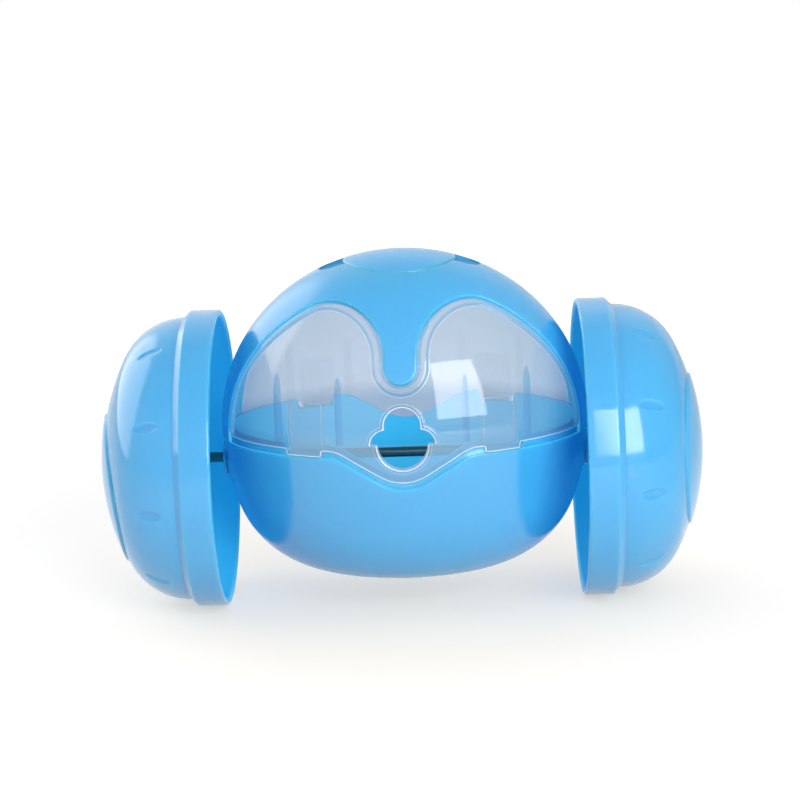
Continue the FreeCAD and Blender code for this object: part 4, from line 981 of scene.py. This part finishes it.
def rib_parts(hand, count=6, wide=1.5, low=3.0, high=16.0):
    """Webs between hub and dome: a flat outline given a thickness and turned to its place."""
    foot, tip = HUB_FACE + 8, DOME_APEX - 2.6
    outline = np.array([(foot, low), (tip, low), (tip - 0.6, high), (tip - 5.5, high), (foot, 4.9)])
    parts = []
    for turn in 2 * np.pi * np.arange(count) / count:
        sides = []
        for half in (-wide / 2, wide / 2):
            y = half * math.cos(turn) - outline[:, 1] * math.sin(turn)
            z = half * math.sin(turn) + outline[:, 1] * math.cos(turn)
            sides.append(np.stack([hand * outline[:, 0], y, z + AXLE_Z], 1))
        parts.append(grid_part(np.array(sides)))
        parts += [(side, np.array([[0, 1, 2, 3, 4]])) for side in sides]
    return parts


WHEEL_FINISH = (BLUE["plastic"], BLUE["inner_side_painted_glow"], BLUE["pad"])
EYE_X = 45.0     # the wheel's inside is what can be seen from here
for side, hand, *angles in (("left", -1, 142.0, 28.3), ("right", 1, 86.0, 25.0)):
    pad_angle, first_scoop = np.radians(angles)
    points, faces = turned(wheel_section(), wheel_turns(first_scoop), hand)
    parts = [(press_scoops(points, hand, first_scoop), faces), (*dome_pad(hand, pad_angle), EXTRA)]
    add_piece("bowl_" + side, parts + rib_parts(hand), WHEEL_FINISH, "wheelset", side + "_wheel",
              inside=(hand * EYE_X, 0.0, AXLE_Z))

# %% [markdown]
# ## The rod and its bushes
# The rod is drawn steel, 3 mm thick, with broken edges at its ends, which are hidden in the
# hubs. A small flanged bush stands where it leaves the body on each side.

# %% Rod and bushes
ROD_END, ROD_RADIUS, BROKEN = node_box("axle")[1][0], 1.5, 0.3
half_rod = np.array([(ROD_END - BROKEN, ROD_RADIUS), (ROD_END, ROD_RADIUS - BROKEN), (ROD_END, 0)])
rod = np.vstack([half_rod[::-1] * [-1, 1], half_rod])
add_piece("rod", [turned(rod, EVEN_TURNS)], (ROD_STEEL,), "wheelset", "axle")
bush = np.array([(45.0, 1.56), (52.0, 1.56), (52.2, 1.7), (52.2, 4.5), (52.05, 4.85), (51.8, 5.0),
                 (51.2, 5.0), (51.2, 3.0), (45.5, 3.0), (45.0, 2.5), (45.0, 1.56)])
for side, hand in (("left", -1), ("right", 1)):
    add_piece("bush_" + side, [turned(bush, EVEN_TURNS, hand)], (BLUE["plastic"],), "body",
              side + "_bush")

# %% [markdown]
# ## What sits in the belly
# The counterweight, its cover and the screws keep their CAD meshes. They are flat and turned
# pieces that show only dimly through the windows, so a finish is enough.

# %% Finishes on the CAD pieces that stay
for name, material in (("counterweight", WEIGHT_STEEL), ("weight_cover", BLUE["plastic"]),
                       ("cover_screws", SCREW_STEEL)):
    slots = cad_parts[name].material_slots
    for slot in slots:
        slot.material = material
    print(name, "slots:", len(slots))

# %% [markdown]
# ## Floor and room
# The toy stands on white paper under soft light. The paper has a little light of its own for the
# camera and in reflections, so it stays white and still takes the toy's shadow. The room is one
# level of light with brighter and darker parts, which needs no picture of a studio. The
# brightest part puts the pale veils on the left wheel and the roof.

# %% Floor and world
FLOOR_HALF = 4.0
WHITE = (1.0, 1.0, 1.0)
floor_mesh = bpy.data.meshes.new("paper")
floor_mesh.from_pydata([(x * FLOOR_HALF, y * FLOOR_HALF, 0)
                        for x, y in ((-1, -1), (1, -1), (1, 1), (-1, 1))], [], [(0, 1, 2, 3)])
floor = placed("paper", floor_mesh)
paper, tree, shader = nodes_of("white_paper")
place = linked(tree, "ShaderNodeTexCoord", {})["Object"]
distance = linked(tree, "ShaderNodeVectorMath", {0: place}, operation="LENGTH")["Value"]
aside = linked(tree, "ShaderNodeSeparateXYZ", {0: place})["X"]
WARM_REACH, GLOW_REACH, DIM_SIDE = (0.06, 0.13), (0.15, 0.9), (0.10, 0.22)
# Near the toy the paper and its own light are painted warmer: a painted tint that cancels the blue
# light the toy throws on the paper.
near_toy = ranged(tree, distance, *WARM_REACH, 1.0, 0.0)
rays = linked(tree, "ShaderNodeLightPath", {})
seen = combined(tree, "MAXIMUM", rays["Is Camera Ray"], rays["Is Transmission Ray"])
seen = combined(tree, "MULTIPLY", seen, ranged(tree, distance, *GLOW_REACH, 0.50, 1.0))
mirrored_light = combined(tree, "MULTIPLY", ranged(tree, distance, *GLOW_REACH, 0.50, 0.28),
                          ranged(tree, aside, *DIM_SIDE, 1.0, 0.3))
mirrored_light = combined(tree, "MULTIPLY", rays["Is Glossy Ray"], mirrored_light)
wire(tree, shader, {
    "Base Color": blended(tree, near_toy, (0.620, 0.610, 0.600), (0.640, 0.580, 0.510)),
    "Emission Color": blended(tree, near_toy, WHITE, (1.0, 0.965, 0.935)),
    "Emission Strength": combined(tree, "ADD", seen, mirrored_light),
    "Roughness": 0.9, "Specular IOR Level": 0.0})
floor.data.materials.append(paper)

# Each part of the room: direction, dot product at its start and where it is full, light added
ROOM_LEVEL = 0.78
ROOM_PARTS = (((-1.0, 0.6, 0.35), 1.0, 1.06, 1.2), ((-0.4, 0.9, 0.0), 0.3, 0.7, 0.3),
              ((0.5, 0.86, 0.0), 0.75, 0.95, -0.25), ((1.0, 0.0, 0.0), 0.5, 0.9, -0.30),
              ((0.0, 0.0, 1.0), 0.5, 0.9, -0.25))
world = bpy.data.worlds.new("studio")
bpy.context.scene.world = world
world.use_nodes = True
tree = world.node_tree
direction = linked(tree, "ShaderNodeTexCoord", {})["Generated"]
level = ROOM_LEVEL
for aim, start, full, gain in ROOM_PARTS:
    near = linked(tree, "ShaderNodeVectorMath", {0: direction, 1: aim}, operation="DOT_PRODUCT")
    level = combined(tree, "ADD", level, ranged(tree, near["Value"], start, full, 0.0, gain))
room = linked(tree, "ShaderNodeBackground", {"Color": WHITE, "Strength": level})
backdrop = tree.nodes["Background"]
wire(tree, backdrop, {"Color": WHITE, "Strength": 1.0})
rays = linked(tree, "ShaderNodeLightPath", {})
behind = combined(tree, "MAXIMUM", rays["Is Camera Ray"], rays["Is Transmission Ray"])
mix = linked(tree, "ShaderNodeMixShader", {0: behind, 1: room[0], 2: backdrop.outputs[0]})
wire(tree, tree.nodes["World Output"], {"Surface": mix[0]})

# %% [markdown]
# ## Lamps and camera
# A photographer lights such a toy with one wide lamp and holds a white card where the plastic
# should show a bright patch. Here the key only lights and the card only shows in reflections, so
# each can be set alone. The camera's place and lens were fitted to the outlines in the photo.

# %% Lamps and camera
def soft_lamp(name, place, aim, size, power, diffuse=True, glossy=True):
    lamp = bpy.data.lights.new(name, "AREA")
    lamp.shape = "RECTANGLE"
    lamp.size, lamp.size_y = size
    lamp.energy = power
    stand = placed(name, lamp)
    turning = (Vector(aim) - Vector(place)).to_track_quat("-Z", "Y")
    stand.matrix_world = Matrix.Translation(place) @ turning.to_matrix().to_4x4()
    stand.visible_camera = False
    stand.visible_diffuse, stand.visible_glossy = diffuse, glossy


soft_lamp("key", (0.330, -0.66, 0.25), (0.0, 0.0, 0.05), (0.44, 0.50), 4.0, glossy=False)
soft_lamp("card", (0.1225, -0.221, 0.150), (-0.0225, 0.066, 0.150), (0.115, 0.158), 0.25,
          diffuse=False)

CAMERA_DISTANCE, CAMERA_TARGET = 615.5 * MM, (-0.04 * MM, 0.0, 57.66 * MM)
ELEVATION, YAW, ROLL = math.radians(12.0), math.radians(1.28), math.radians(-2.035)
FOCAL_PIXELS, PICTURE_WIDTH, SENSOR = 2150.9, 800, 36.0
camera_data = bpy.data.cameras.new("camera")
camera_data.sensor_width = SENSOR
camera_data.lens = FOCAL_PIXELS * SENSOR / PICTURE_WIDTH
camera = placed("camera", camera_data)
camera.matrix_world = (
    Matrix.Translation(CAMERA_TARGET) @ Matrix.Rotation(YAW, 4, "Z")
    @ Matrix.Rotation(math.pi / 2 - ELEVATION, 4, "X") @ Matrix.Rotation(ROLL, 4, "Z")
    @ Matrix.Translation((0, 0, CAMERA_DISTANCE)))
bpy.context.scene.camera = camera
bpy.context.scene.view_settings.view_transform = "Standard"
print("lens %.1f mm" % camera_data.lens)
